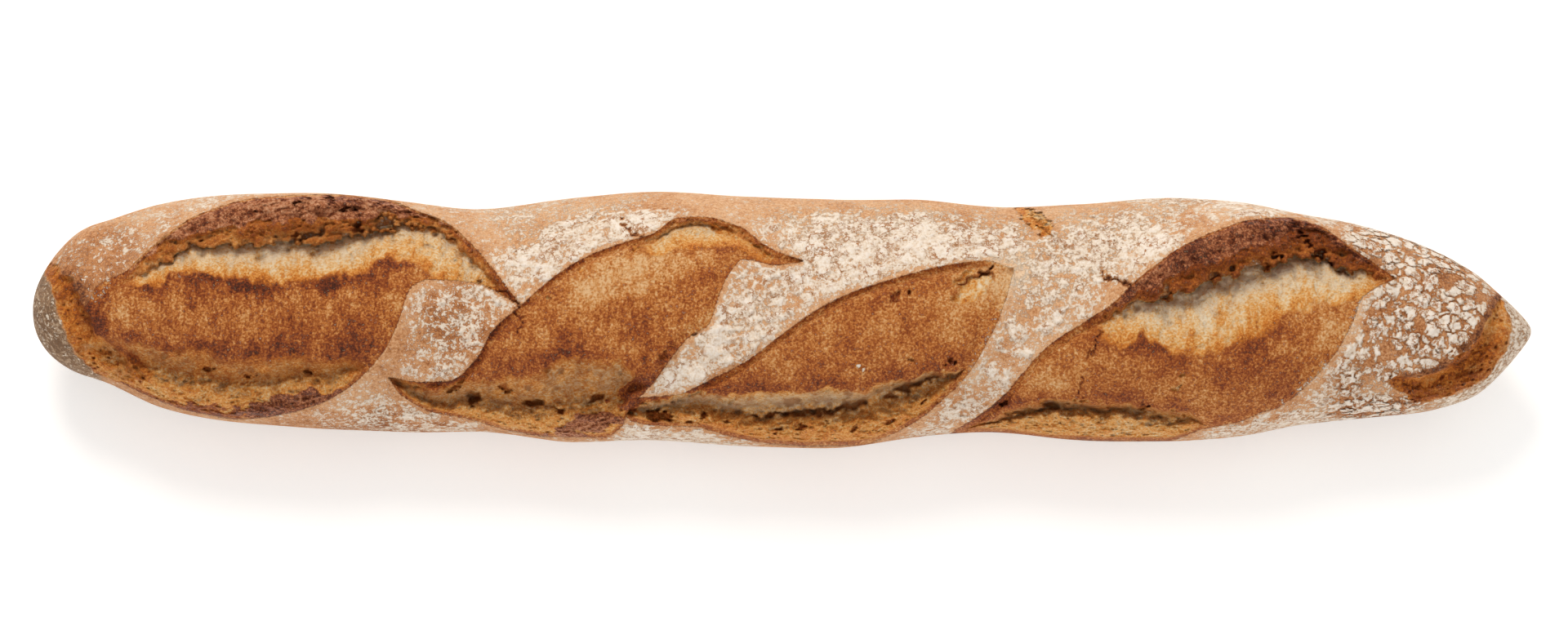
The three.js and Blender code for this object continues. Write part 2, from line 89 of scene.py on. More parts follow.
# ---- The four cuts ----
# lip and heel: the long edges of the torn surface in plan, [x, v].
# ear: [x, height, face, gape]: how high the lip stands, how wide its browned inner face is, and how far
#   the gape below it lies under the dough's surface.
# tear: [x, width, depth] of the torn crumb beside the heel.
# dark: [x, width] of the part of the ear's face that baked dark, above its torn underside.
# rise: [x, width] over which the crust climbs out of the gape; bulge: its height over the dough.
# wall: [x, width] of the torn slope under the crust's lower edge; bake: how brown the bulging crust is.
# line: how dark the broken brow is; streaks: how far the crust's grain is drawn out across the loaf.
# open: how deep the gape is before crumb shows; crease: [x, how dark] the fold along the lip is.
# char: how dark the ear's face is; ledge and slope: how brown the torn crumb is beside the heel, and
#   under the crust's lower edge, where it is partly painted shade and slope also sets more painted shade.
# shelf: shares of the lower tear's width where its level ledge ends and where it is deepest.
CUTS = [
    {
        "lip": [
            [-214.9, -10.2], [-211.4, -2.2], [-207.4, 5.8], [-201.9, 12.2], [-188, 25.2], [-177, 32.2],
            [-159.4, 37], [-139.4, 38], [-122, 36.8], [-112, 33.2], [-103, 29.8], [-94, 22.2],
            [-79.4, 4.2],
        ],
        "heel": [
            [-214.9, -10.2], [-208, -15.5], [-192, -24.2], [-179.4, -28.5], [-164.4, -30.5],
            [-153, -29.2], [-139.4, -25.2], [-129.4, -18.8], [-121.4, -10.2], [-117.4, -2.8],
            [-112.4, 10.2], [-107, 12], [-94.4, 11.2], [-79.4, 4.2],
        ],
        "ear": [
            [-202, 0, 1, 0], [-188, 4, 5, 3.5], [-177, 7, 8.4, 5.5], [-159, 13, 13.4, 5.5],
            [-139, 18, 13.2, 5.5], [-122, 12, 8, 5], [-112, 6, 3.8, 4.2], [-94, 2.4, 2, 2.4],
            [-79.4, 0, 1, 0],
        ],
        "tear": [
            [-214.9, 2, 0], [-204, 13, 3], [-189, 17, 4.2], [-174, 19, 4.6], [-152, 18, 4.6],
            [-134, 10, 3.6], [-123, 0, 0],
        ],
        "dark": [
            [-202, 0.6], [-188, 2.2], [-177, 4.5], [-159, 7.6], [-139, 7.8], [-124, 5.4], [-117, 3.4],
            [-112, 1.2], [-94, 0.8], [-79.4, 0.5],
        ],
        "rise": [
            [-202, 5], [-182, 7], [-167, 11], [-152, 14.4], [-132, 13.4], [-119, 11], [-112, 12],
            [-104, 18], [-94, 20], [-79, 20],
        ],
        "wall": [[-215, 4], [-200, 7], [-150, 8], [-134, 5], [-123, 3]],
        "bulge": 1.5, "bake": 0.55, "line": 0.24, "streaks": 0.75, "open": 0,
        "crease": [[-215, 0.1], [-79.4, 0.1]],
        "char": 0.34, "ledge": 0.45, "slope": 0.42, "shelf": (0.3, 0.68),
    },
    {
        "lip": [
            [-119.9, -17.8], [-109.4, -19.2], [-101.4, -18.8], [-93, -12.2], [-88, -3.5], [-79.4, 4.2],
            [-69.4, 12.8], [-59.4, 19], [-46.9, 23.8], [-39.4, 26], [-31.9, 30.8], [-24.4, 31.2],
            [-13, 28.2], [-4.4, 22], [6.9, 17.5],
        ],
        "heel": [
            [-119.9, -17.8], [-116.4, -22.8], [-107, -28.2], [-95.6, -30.6], [-84.4, -33.8],
            [-69.4, -36], [-54.4, -36.2], [-48.9, -32.8], [-46.4, -27.2], [-39.4, -19.8],
            [-33.9, -12.2], [-28, -5.2], [-22.4, -1.8], [-19.4, 6.5], [-16, 14], [-11.9, 18.2],
            [-1.9, 16.5], [6.9, 17.5],
        ],
        "ear": [
            [-120, 0, 1, 0], [-80, 1, 1, 0], [-47, 1, 1, 0], [-39, 1.8, 1.4, 1.8], [-27, 2.6, 2, 2.6],
            [-13, 1.4, 1.2, 1.6], [-4, 0.8, 1, 1], [6.9, 0, 1, 0],
        ],
        "tear": [
            [-119.9, 1, 0], [-117, 4, 3], [-101, 9.5, 4.6], [-89, 15, 5.4], [-77, 19, 6], [-64, 24, 6.2],
            [-50, 23, 6.2], [-46, 12, 6], [-39, 0, 0],
        ],
        "dark": [[-120, 0.6], [-46, 0.9], [-36, 2], [-27, 1.8], [-20, 0.9], [6.9, 0.5]],
        "rise": [[-120, 6], [-46, 6], [-27, 8], [6.9, 7]],
        "wall": [[-120, 2], [-100, 6], [-85, 9], [-64, 13], [-50, 12], [-44, 4]],
        "bulge": 2.5, "bake": 0.48, "line": 0.12, "streaks": 0.6, "open": 0,
        "crease": [[-120, 0.15], [-80, 0.26], [-30, 0.1], [6.9, 0.05]],
        "char": 0.3, "ledge": 0.45, "slope": 0.34, "shelf": (0.2, 0.52),
    },
    {
        "lip": [
            [-48.9, -28.5], [-44.9, -24.2], [-31.9, -23], [-21.9, -18.5], [-11.9, -13.5], [0.6, -4.2],
            [10.6, 2.8], [20.6, 7.8], [35.6, 12.8], [50.6, 16.5], [62, 17.8], [70.6, 15.2],
        ],
        "heel": [
            [-48.9, -28.5], [-45.6, -31.2], [-39.4, -32.5], [-27, -32.8], [-17, -35.5], [-4.4, -38],
            [10.6, -38.8], [24.4, -38.2], [33, -35.5], [43, -29.8], [52, -21], [57, -13.5], [60.6, -6],
            [64.4, 1.5], [67.6, 9], [70.6, 15.2],
        ],
        "ear": [
            [-49, 0, 1, 0], [-12, 0.7, 1, 0], [10, 1.2, 1, 0.3], [36, 1.5, 1.2, 0.3], [55, 1.8, 1.4, 0.4],
            [70.6, 0, 1, 0],
        ],
        "tear": [
            [-48.9, 2, 3], [-39, 8.5, 6], [-22, 11, 6.4], [-4, 15.5, 7], [11, 17, 7.4], [26, 17, 7.4],
            [36, 15.5, 6.8], [46, 11, 6.4], [53, 4, 4.5], [57, 0, 0],
        ],
        "dark": [[-49, 0.6], [20, 0.9], [50, 1.4], [62, 1.2], [70.6, 0.5]],
        "rise": [[-49, 5], [70.6, 5]],
        "wall": [[-49, 1.5], [-20, 4], [0, 5], [20, 4.5], [30, 2.5], [57, 1.5]],
        "bulge": 2.5, "bake": 0.47, "line": 0, "streaks": 0.45, "open": 3,
        "crease": [[-49, 0.15], [20, 0.24], [46, 0.22], [57, 0.05], [70.6, -0.1]],
        "char": 0.5, "ledge": 0.5, "slope": 0.16, "shelf": (0.3, 0.68),
    },
    {
        "lip": [
            [51.4, -34.8], [60.6, -29.2], [68, -22.8], [73, -16.8], [80.6, -8.5], [93, -0.2],
            [101.9, 5.8], [105.6, 9.8], [111, 14.5], [120.6, 21.5], [130.6, 26.2], [143, 30.2],
            [153, 31], [163, 28.8], [173, 22], [186.9, 12.5],
        ],
        "heel": [
            [51.4, -34.8], [64.4, -34.2], [83, -36.2], [98, -36.8], [118, -37], [128, -33.8],
            [140.6, -31], [148, -27.2], [154.4, -22.2], [162, -14.8], [167, -8.5], [173, 1.5],
            [177, 7.2], [186.9, 12.5],
        ],
        "ear": [
            [73, 0.5, 1, 0], [91, 1, 1.5, 1], [102, 2, 2.6, 3.2], [111, 6, 6, 7], [121, 8, 11, 9],
            [143, 10, 13.5, 9], [161, 9, 9, 8], [173, 6, 4.5, 5], [186.9, 0, 1, 0],
        ],
        "tear": [
            [53, 0.5, 2], [64, 4, 4], [73, 9, 5.6], [86, 12, 6.4], [98, 11.5, 6.2], [111, 10.5, 5],
            [125, 6, 3], [131, 0, 0],
        ],
        "dark": [
            [73, 0.6], [102, 1.6], [111, 4], [121, 7.2], [140, 8.6], [150, 7.4], [157, 3.4], [163, 2],
            [186.9, 0.7],
        ],
        "rise": [
            [91, 6], [102, 8], [112, 11], [121, 19], [133, 24], [143, 23], [153, 20], [163, 16], [173, 9],
            [186.9, 6],
        ],
        "wall": [[51, 1.2], [80, 2.5], [110, 2.5], [131, 1.5]],
        "bulge": 1.5, "bake": 0.51, "line": 0.06, "streaks": 0.4, "open": 1.0,
        "crease": [[51, 0.1], [90, 0.2], [186.9, 0.15]],
        "char": 0.56, "ledge": 0.42, "slope": 0.28, "shelf": (0.5, 0.8),
    },
]  # fmt: skip
LIP_SPREAD = 7.0  # how far from the lip the skin outside it is lifted
HEEL_ROLL = 1.2  # height of the rolled rim along the heel
HEEL_SPREAD = 4.0  # how far from the heel the skin outside it is lifted
RUBBED = 1.2  # width of the skin along a cut that lost its flour
RUBBED_SKIN = 0.38  # how brown that skin is
OUTSIDE = -9.0  # what counts as far outside every cut
DEEP_INSIDE = 3.0  # how far inside one the crust and crumb no longer change with the distance

# ---- The bursts at both tips, where the bottom crust split off ----
# path: [x, v, half width, depth].
# inner: which side of the path, looking along it, faces the loaf's middle.
# floor: how far from the loaf's middle the crust beyond the burst lay on the oven floor.
# soot and shade: how dark that made the underside, partly soot and partly painted shade; dust: how much
# flour lies on it.
# bake: how brown the torn band is on the far side and on the near side.
BURSTS = [
    {
        "path": [[-223, 14.5, 2.4, 1], [-218.6, 9, 3.6, 3], [-216, 1, 4.2, 4], [-212.4, -7, 4.6, 4.4],
                 [-205, -13.5, 4.6, 3], [-197, -17.5, 3, 1.5]],
        "inner": 1, "floor": 211, "soot_and_shade": 1, "dust": 0.14, "bake": (0.62, 0.48),
    },
    {
        "path": [[219.5, 4.5, 1.5, 2], [218.5, -2, 4, 4], [216, -8, 5, 5], [211, -14, 5.5, 6],
                 [203, -19.5, 4.5, 5], [194, -21.5, 4, 4], [187, -19, 2, 1]],
        "inner": -1, "floor": 204, "soot_and_shade": 0.6, "dust": 0.74, "bake": (0.4, 0.64),
    },
]  # fmt: skip

BURST_FADE = 12.0  # distance over which the one brown of a burst turns into the other
FLOOR_FADE = 8.0  # and over which the crust beyond it comes off the oven floor
BURST_REACH = 30.0  # how far beyond a burst the oven floor's marks go

# ---- Smaller breaks ----
RAGGED, RAGGED_FINE = 0.9, 0.4  # how far their edges wander
# Deep slots in the lower tears, and cracks in the crust: [x, v, half width, depth].
SLOTS = [
    [[-9, -29.5, 1, 1.6], [6, -28.6, 1.3, 3.2], [18, -27.6, 1.4, 3.6], [24, -26.2, 1, 2]],
    [[31, -23.2, 1, 2], [37, -21.2, 1.6, 3.6], [43, -18.6, 1.6, 3.4], [49, -16, 1, 1.5]],
]
CRACKS = [
    [[-89.4, 9.6, 0.2, 0.4], [-84.5, 8.6, 0.4, 0.9], [-79.6, 4.2, 0.4, 1]],
    [[-80.2, 3, 0.35, 0.8], [-79.6, -0.5, 0.35, 0.8], [-80, -4, 0.2, 0.4]],
    [[-48.5, 30, 0.3, 0.6], [-46, 27.5, 0.4, 0.8], [-43, 24.6, 0.3, 0.6]],
    [[97, -3.2, 0.3, 0.9], [95.2, -7.5, 0.4, 1], [93, -12.5, 0.25, 0.6]],
    [[90.6, -17.5, 0.25, 0.5], [91, -21, 0.25, 0.6], [90.4, -24.8, 0.2, 0.4]],
    [[96.9, 14, 0.4, 0.8], [101.5, 11.5, 0.7, 2], [105.6, 9.8, 0.5, 1]],
    [[75, 33.5, 0.3, 0.8], [78.6, 29.4, 0.4, 1.2], [81.6, 26, 0.4, 1]],
    [[53.6, 9.8, 0.3, 0.8], [56.8, 11.4, 0.5, 1.6], [60.6, 14.2, 0.5, 1.8], [63.6, 14.8, 0.4, 1.2],
     [64.8, 12.6, 0.2, 0.6]],
]  # fmt: skip
# Scoops that show crumb through the crust: [x, v, half length, half width, turn in degrees, depth].
SCOOPS = [
    [77.4, 30.2, 7.5, 2.4, -43, 2],
    [58.1, 8.9, 7.5, 2.8, 39, 1.6],
    [55.4, 12.6, 4.5, 1.0, 30, 1.2],
    [121.9, -17.5, 1.0, 0.8, 30, 1.4],
    [119.9, -20.3, 1.1, 0.7, 10, 1.2],
    [-44.4, 21.5, 0.7, 1.4, 0, 1.1],
    [-17.5, 27.2, 4.2, 1.3, -22, 1.2],
    [-5.5, 20.6, 4.4, 1.0, -38, 1.1],
    [-60.7, 14.5, 0.9, 0.9, 0, 1.0],
    [-70.7, 6.5, 1.1, 0.7, 0, 0.9],
    [-58.5, -28, 2.8, 2.0, 20, 1.8],
]

# Blister holes and big pores: [x, v, half length, half width, turn, depth].
PITS = [
    [-147.6, 35.7, 0.9, 0.7, 0, 2], [-145, 37.0, 1.1, 0.5, 0, 1.4], [-138, 36.2, 1.6, 0.7, -6, 1.6],
    [-133.3, 33.8, 1.3, 0.9, 0, 2.2], [-130.6, 34.0, 0.7, 0.9, 0, 2], [-160.6, 32.2, 0.6, 0.6, 0, 1.6],
    [-122, 36, 1.1, 0.4, -15, 1.2], [-129.4, 27.8, 2.0, 1.2, 0, 3], [-148, 25.2, 1.0, 1.6, 0, 2.6],
    [-144.2, -15.8, 1.6, 0.9, 0, 2.6], [-174.7, -15.7, 2.0, 1.1, 0, 2.4], [-162, -17, 1.2, 0.7, 0, 2],
    [-94.2, -24.2, 2.6, 1.9, 0, 4], [-75.7, -25.8, 3.4, 1.5, 12, 4], [-68, -28, 1.6, 0.9, 0, 2.5],
    [-84, -21.5, 2.2, 0.9, -10, 2.6], [-100, -21, 1.8, 1.0, 0, 2.4], [-57, -24, 3, 1.2, 20, 3],
    [-38, -29.4, 4.4, 1.0, -4, 3], [-23.7, -29.4, 1.4, 0.8, -30, 2.5], [-36.1, -11, 0.9, 1.1, 0, 1.6],
    [39, 8.4, 1.0, 0.6, 30, 2], [34.3, 6.9, 1.6, 1.1, 20, 1], [62, 14.5, 3.2, 0.8, 32, 2.6],
    [51.8, -13.2, 0.9, 0.4, 50, 1.6], [39.3, -11.9, 1.0, 0.5, 0, 1], [-26.4, -5.2, 1.2, 0.5, 20, 1.4],
    [161, 22.5, 1.4, 0.9, -30, 2.4], [164.5, 20, 1.4, 1.0, -30, 2.6], [167.5, 17, 1.2, 0.9, -30, 2.4],
    [158.5, 25.4, 1.1, 0.8, -20, 2.2], [171, 14.5, 1.2, 0.8, -30, 2.2], [82, -26.5, 2.2, 1.3, 0, 3],
    [68, -25, 1.6, 0.8, 10, 2.6], [110, -27.5, 2, 0.7, 0, 2.4], [6, -33.6, 1.6, 0.8, 0, 1.8],
    [22, -33, 1.2, 0.7, 0, 1.6], [33, -30.6, 1.4, 0.8, 20, 1.8], [43, -25.4, 1.2, 0.7, 40, 1.6],
    [-16, -31.8, 1.4, 0.7, 0, 1.8], [-2, -34.2, 1.1, 0.6, 0, 1.5], [14, -31.2, 1.0, 0.6, 0, 1.5],
    [28, -34.4, 0.9, 0.5, 0, 1.3], [-29, -31.4, 1.3, 0.6, 0, 1.6],
]  # fmt: skip

# Where the crust of a cut fades into the skin beyond its edge, which has less flour there:
# [x, v, half length, half width, turn, reach].
FADES = [
    [-207, 3, 10, 14, 20, 3],
    [61, -4, 19, 4.5, 62, 2.2],
    [163, -14, 24, 4.5, 50, 2.2],
]
FLOUR_LOST = 0.7  # the share of the flour that is gone there

SKIN_BROWN = 0.4  # how brown most of the skin is, from 0 to 1
# The browner skin at the rounded tip: [x, v, half length, half width, turn], and how much browner it is.
BROWN_END = [-206, 6, 16, 25, 10]
BROWN_END_AMOUNT = 0.22

# Where the crust is browner or paler than the rest: [x, v, half length, half width, turn, amount].
BROWNING = [
    # The first patch browns the near flank, which lies in shade: painted shade.
    [-122, -31, 26, 5, 0, 0.14],
    [-212, 3, 6, 12, 20, 0.1],
    [-196, 8, 12, 9, 20, -0.12],
    [-153, 10, 14, 2.4, 4, 0.2],
    [-138, -6, 40, 5, 0, 0.07],
    [-172, -11, 20, 4, 0, 0.08],
    [-118, 12, 6, 9, 0, -0.04],
    [-86, -12, 8, 12, 30, 0.05],
    [-70, -14, 16, 6, 30, 0.14],
    [-45, 14, 26, 8, 20, -0.28],
    [-30, 0, 12, 14, 40, -0.02],
    [20, -17, 34, 4.5, 8, 0.08],
    [-15, -18, 16, 5, 25, 0.06],
    [60, 0, 8, 16, -20, -0.08],
    [84, -18, 10, 12, 40, -0.14],
    [132, -7, 34, 4, 4, 0.1],
    [-211, -0.5, 3.5, 5, 0, 0.14],
    [118, -25, 30, 5, 0, -0.02],
    [108, 3, 12, 5, 20, -0.08],
    [165, 8, 14, 8, 0, -0.1],
    [67, 14, 12, 9, 20, -0.26],
    [54, 2, 8, 14, -20, -0.08],
    [-99, -2, 16, 14, 30, 0.18],
    [150, -20, 22, 7, 0, 0.06],
    [166, -8, 20, 5, 58, -0.15],
]
DARKEST_BAKE, DARKEST_SKIN = 0.84, 0.8  # as brown as any torn dough and any skin may be

# Scorched rims of crust at the lower edge of the tears: [x, v, half length, half width, turn, bake, char].
SCORCHES = [
    [-149.4, -26.2, 17, 3.6, 10, 0.56, 1],
    [-58.9, -32.2, 12, 3, 13, 0.46, 1],
    [-40, -18, 15, 4.5, 45, 0.68, 0],
    [-178, -28, 19, 2.2, -9, 0.62, 0.3],
    [44, -30, 16, 1.4, 42, 0.6, 0],
]

# Flour, dusted on before the loaf was cut: [x, v, half length, half width, turn, load]. The heaviest, past
# STRAY_LOAD, fell on the torn crust too.
FLOUR = [
    [36, 23.5, 50, 10.5, -3, 1.0],
    [14, 15, 26, 9, 20, 0.95],
    [30, 16, 30, 6, 18, 0.9],
    [-12, -2, 28, 13, 44, 0.9],
    [-30, -19, 15, 10, 38, 0.95],
    [-6, 12, 12, 9, 40, 0.66],
    [82, 4, 18, 17, 20, 0.6],
    [60, -22, 18, 11, 52, 0.7],
    [72, -8, 14, 12, 45, 0.62],
    [100, 22, 28, 12, 8, 0.9],
    [114.3, 23.2, 4.5, 4.2, 0, 1.15],
    [-66, 20, 34, 11, 22, 0.92],
    [-84, 12, 14, 9, 40, 0.8],
    [-42, 28, 16, 6.5, 8, 1.0],
    [-97, -2, 20, 19, 30, 0.54],
    [-106, -16, 12, 8, 10, 0.6],
    [-114, 8, 10, 7, 0, 0.55],
    [195, -4, 24, 20, 0, 1.0],
    [193, 17, 28, 9, -24, 0.95],
    [168, -18, 22, 10, 40, 0.75],
    [140, 34, 40, 6, -6, 0.85],
    [-112, -29, 36, 10, 0, 0.56],
    [-36, -37, 34, 5, -4, 0.95],
    [56, -32, 26, 7, 20, 0.75],
    [158, -32, 44, 7, 10, 0.85],
    [-188, 28, 30, 9, 22, 0.4],
    [-165, 36, 34, 8, 8, 0.46],
    [-214, 14, 10, 14, 10, 0.3],
    [-85, 32, 36, 9, 0, 0.4],
    [23.3, -14.3, 1.5, 1.1, 20, 1.07],
    [24.7, -15.4, 1.3, 0.9, 60, 1.06],
]
STRAY_LOAD = 1.05
THIN_LOAD = 0.15  # the dust between the patches
HEARTH_LOAD = 0.42  # the flour on the underside
HEARTH_SKIN = 0.42  # how brown the underside is
NO_FLOUR = -0.3  # what counts as swept clean
CLOD_SIZE = 4.6  # the clods of flour at the pointed end
CLOD_ROWS = 6.1  # distance between their rows
CLODS_BEGIN = (164, 174)  # where they set in along the loaf
CLOD_SKIN = 0.17  # how much browner the skin between them is
MOUND, CLOD_MOUND = 0.5, 0.8  # height of thick flour and of the clods

# ---- Meshes ----
BODY_ROUND = 160  # points round the base
BODY_ALONG = 340  # rings along the base
TOP_SHARE = 0.5  # share of the points round it that lie on its upper side
CELL = 0.45  # size of the cells of the top crust
TOP_PIECES = 7  # pieces of top crust along the loaf
TOP_END = 228.6  # how far from the middle the top crust reaches
TOP_FACING = (-0.1, math.pi + 0.3)  # where round the loaf the top crust gives way to the base
CRUST_DEPTH = 4.5  # how far down the underside of the top crust lies, away from its long edges
CRUST_EDGE = 1.6  # how far inwards it lies along them
THINNEST = 0.75  # where the loaf is thin, the share of its thickness that the top crust may take
LAP = 1.4  # how far each piece of crust runs on beyond its edge, dipping under the next one
LAP_DIP = 0.3  # how steeply it dips: this times the square of the distance from the edge
TIP_GAP = 0.2  # how far the crust keeps from the very tips
SUNK_EDGE = (0.4, 2.4)  # how far inside the edge of the top crust the base starts and ends sinking under it
HOLLOW = 14  # depth of the hollow in the base under the top crust
HOLLOW_SHARE = 0.45  # the share of the loaf's thickness that it may be where the loaf is thin
HOLLOW_GAP = 5  # how far the hollow keeps below the breaks in the crust
HOLLOW_MOST = 0.8  # and the share of the thickness that it may be for their sake
HOLLOW_INWARD = 2.6  # how far the hollow's sides move inwards
SOFTNESS = 0.00025  # how gently, in metres, points are eased inside the loaf's box

sin_tilt, cos_tilt = math.sin(PLAN_TILT), math.cos(PLAN_TILT)
TOWARDS_BAKER = np.array([0.0, -sin_tilt, cos_tilt])


# ---- Reading lines and making patterns ----
def ease(value, low, high):
    """Goes smoothly from 0 at low to 1 at high."""
    t = np.clip((value - low) / (high - low), 0, 1)
    return t * t * (3 - 2 * t)


def mix(start, end, share):
    return start + (end - start) * share


def read_line(points, x, column=1):
    """Reads a smooth line through [x, value, ...] points, which never swings past its points."""
    table = np.asarray(points, float)
    at, value = table[:, 0], table[:, column]
    between = np.diff(value) / np.diff(at)
    before, after = between[:-1], between[1:]
    same_way = before * after > 0
    inner = np.where(same_way, 2 * before * after / np.where(same_way, before + after, 1), 0)
    slope = np.concatenate([between[:1], inner, between[-1:]])
    x = np.clip(x, at[0], at[-1])
    i = np.clip(np.searchsorted(at, x, side="right") - 1, 0, len(at) - 2)
    reach = at[i + 1] - at[i]
    t = (x - at[i]) / reach
    leave, arrive = reach * slope[i], reach * slope[i + 1]
    return (
        value[i] * (1 + 2 * t) * (1 - t) ** 2 + leave * t * (1 - t) ** 2
        + value[i + 1] * (3 - 2 * t) * t**2 + arrive * (t - 1) * t**2
    )  # fmt: skip


def slant(points, x, step=2):
    """Turns a distance across the loaf into the distance from a line that slants there."""
    slope = (read_line(points, x + step) - read_line(points, x - step)) / (2 * step)
    return 1 / np.hypot(1, slope)


def scatter(cell, seed):
    """A steady random number from 0 to 1 for each whole-numbered cell."""
    n = cell[..., 0] * 374761393 + cell[..., 1] * 668265263 + cell[..., 2] * 2147483647 + seed * 951274213
    n &= 0xFFFFFFFF
    n = ((n ^ (n >> 13)) * 1274126177) & 0xFFFFFFFF
    n = ((n ^ (n >> 15)) * 2246822519) & 0xFFFFFFFF
    return ((n ^ (n >> 16)) & 0xFFFFF) / 0xFFFFF


TURN = np.array([[0.36, 0.48, -0.8], [-0.8, 0.6, 0.0], [0.48, 0.64, 0.6]])  # turns a pattern off the axes
CORNERS = [(i, j, k) for i in (0, 1) for j in (0, 1) for k in (0, 1)]


def grain(spots, size, seed, stretch=(1, 1, 1)):
    """Smooth noise from -1 to 1, in lumps of that size in millimetres."""
    q = spots / (size * np.asarray(stretch, float))
    if stretch == (1, 1, 1):
        q = q @ TURN
    cell = np.floor(q).astype(np.int64)
    t = q - cell
    t = t * t * t * (t * (6 * t - 15) + 10)
    total = 0.0
    for corner in CORNERS:
        weight = np.prod([t[:, n] if corner[n] else 1 - t[:, n] for n in range(3)], axis=0)
        total = total + weight * scatter(cell + np.array(corner), seed)
    return np.clip((2 * total - 1) * 1.5, -1, 1)


def clods(spots, size, seed):
    """Distances in millimetres to the nearest and second nearest of scattered points, and its number."""
    q = spots / size
    base = np.floor(q).astype(np.int64)
    first = np.full(len(q), 9.0)
    second = first.copy()
    number = np.zeros(len(q))
    for i in (-1, 0, 1):
        for j in (-1, 0, 1):
            for k in (-1, 0, 1):
                cell = base + np.array([i, j, k])
                place = cell + np.stack([scatter(cell, seed + n) for n in (1, 2, 3)], axis=-1)
                distance = np.linalg.norm(q - place, axis=1)
                nearer = distance < first
                second = np.where(nearer, first, np.minimum(second, distance))
                number = np.where(nearer, scatter(cell, seed + 4), number)
                first = np.where(nearer, distance, first)
    return first * size, second * size, number


def pores(spots, size, seed, share):
    """Round holes in that share of the cells: 1 in the middle of a hole and 0 outside it."""
    first, _, number = clods(spots, size, seed)
    radius = size * (0.2 + 0.3 * (number / share))
    return np.where(number < share, 1 - ease(first, radius * 0.35, radius), 0)


SOFT_EDGE = (0.45, 1.35)  # shares of its half width and length between which a patch fades out


def blot(x, v, patch):
    """How far inside an oval patch a point lies: 1 in its middle, 0 beyond its soft edge."""
    at_x, at_v, half_long, half_wide, turn = patch[:5]
    c, s = math.cos(math.radians(turn)), math.sin(math.radians(turn))
    along, across = (x - at_x) * c + (v - at_v) * s, (v - at_v) * c - (x - at_x) * s
    return 1 - ease(np.hypot(along / half_long, across / half_wide), *SOFT_EDGE)


def from_path(path, x, v):
    """Distance from a path of [x, v, half width, depth], its side, and its half width and depth there."""
    best = [np.full(len(x), 1e9), np.zeros(len(x)), np.ones(len(x)), np.zeros(len(x))]
    for (x0, v0, half0, depth0), (x1, v1, half1, depth1) in zip(path[:-1], path[1:]):
        dx, dv = x1 - x0, v1 - v0
        along = np.clip(((x - x0) * dx + (v - v0) * dv) / (dx**2 + dv**2), 0, 1)
        distance = np.hypot(x - x0 - along * dx, v - v0 - along * dv)
        side = np.sign(dx * (v - v0) - dv * (x - x0))
        nearer = distance < best[0]
        found = [distance, side, mix(half0, half1, along), mix(depth0, depth1, along)]
        best = [np.where(nearer, new, old) for new, old in zip(found, best)]
    return best


# ---- The dough ----
def fullness(x):
    """How full the loaf is: 1 in the middle and 0 at the tips."""
    full = np.ones(len(x))
    for from_tip, (length, power) in ((LENGTH / 2 + x, LEFT_TIP), (LENGTH / 2 - x, RIGHT_TIP)):
        share = np.clip(1 - from_tip / length, 0, 1)
        full = full * (1 - share**power) ** (1 / power)
    return full


class Place:
    """Points of the bare dough, from places x along the loaf and facing round it.

    facing runs from 0 at the far edge of the plan to pi at its near edge, and on under the loaf.
    """

    def __init__(self, x, facing):
        full = fullness(x)
        swell = 1 + read_line(SWELLING, x)
        plan_half = HALF_WIDTH * swell * full
        crown = CROWN * swell * full**TIP_FULLNESS
        shown = crown * sin_tilt
        level = KEEL + TIP_LIFT * (2 * np.abs(x) / LENGTH) ** 4
        middle = read_line(MIDDLE_LINE, x)
        half_width = np.sqrt(np.maximum(plan_half**2 - shown**2, 0)) / cos_tilt
        turn = np.arctan2(shown, np.sqrt(np.maximum(plan_half**2 - shown**2, 1e-9)))
        side, up = np.cos(facing + turn), np.sin(facing + turn)
        roundness = 2 / UNDERSIDE_POWER
        across = np.where(up >= 0, side, np.sign(side) * np.abs(side) ** roundness)
        rise = np.where(up >= 0, crown * up, -KEEL * full**TIP_FULLNESS * np.abs(up) ** roundness)
        y = (middle - (level - KEEL) * sin_tilt) / cos_tilt + half_width * across
        self.x, self.full = x, full
        self.spot = np.stack([x, y, level + rise], axis=1)
        # The way to the loaf's middle line, and how close to the edge of the plan a place is: 1 at the edge.
        to_middle = np.stack([0 * x, -half_width * across, -rise], axis=1)
        self.radius = np.maximum(np.hypot(half_width * across, rise), 0.01)
        self.inward = to_middle / self.radius[:, None]
        self.edgeness = 1 - ease(np.minimum(facing, math.pi - facing), 0, 0.3)
        self.below = np.where(facing > math.pi, np.minimum(facing - math.pi, 2 * math.pi - facing), 0)
        self.below = np.where(facing < 0, -facing, self.below)
        turned = np.cos(facing)
        self.share = np.where(self.below > 0, np.sign(turned) * (1 + self.below), turned)
        self.v = middle + plan_half * self.share
        self.fade = 1 - ease(self.below, 0, FADE_ANGLE)
        short, long = LUMP_WAVES
        waves = np.sin(x / short + 2 * facing) + np.sin(x / long - 3 * facing)
        self.lumps = UNEVENNESS * 0.5 * full * waves
        # How far the loaf goes down under a point, along the baker's view.
        self.thickness = THICKNESS * full * np.sqrt(np.clip(1 - self.share**2, 0, 1))

    def raised(self, height, sunk=0.0):
        """Points at that height over the dough, towards the baker, and sunk that far into the loaf."""
        lifted = (self.fade * height)[:, None] * TOWARDS_BAKER
        point = self.spot + lifted + np.minimum(sunk, 0.45 * self.radius)[:, None] * self.inward
        point[:, 2] = np.maximum(point[:, 2], FLAT_SPOT)
        return point


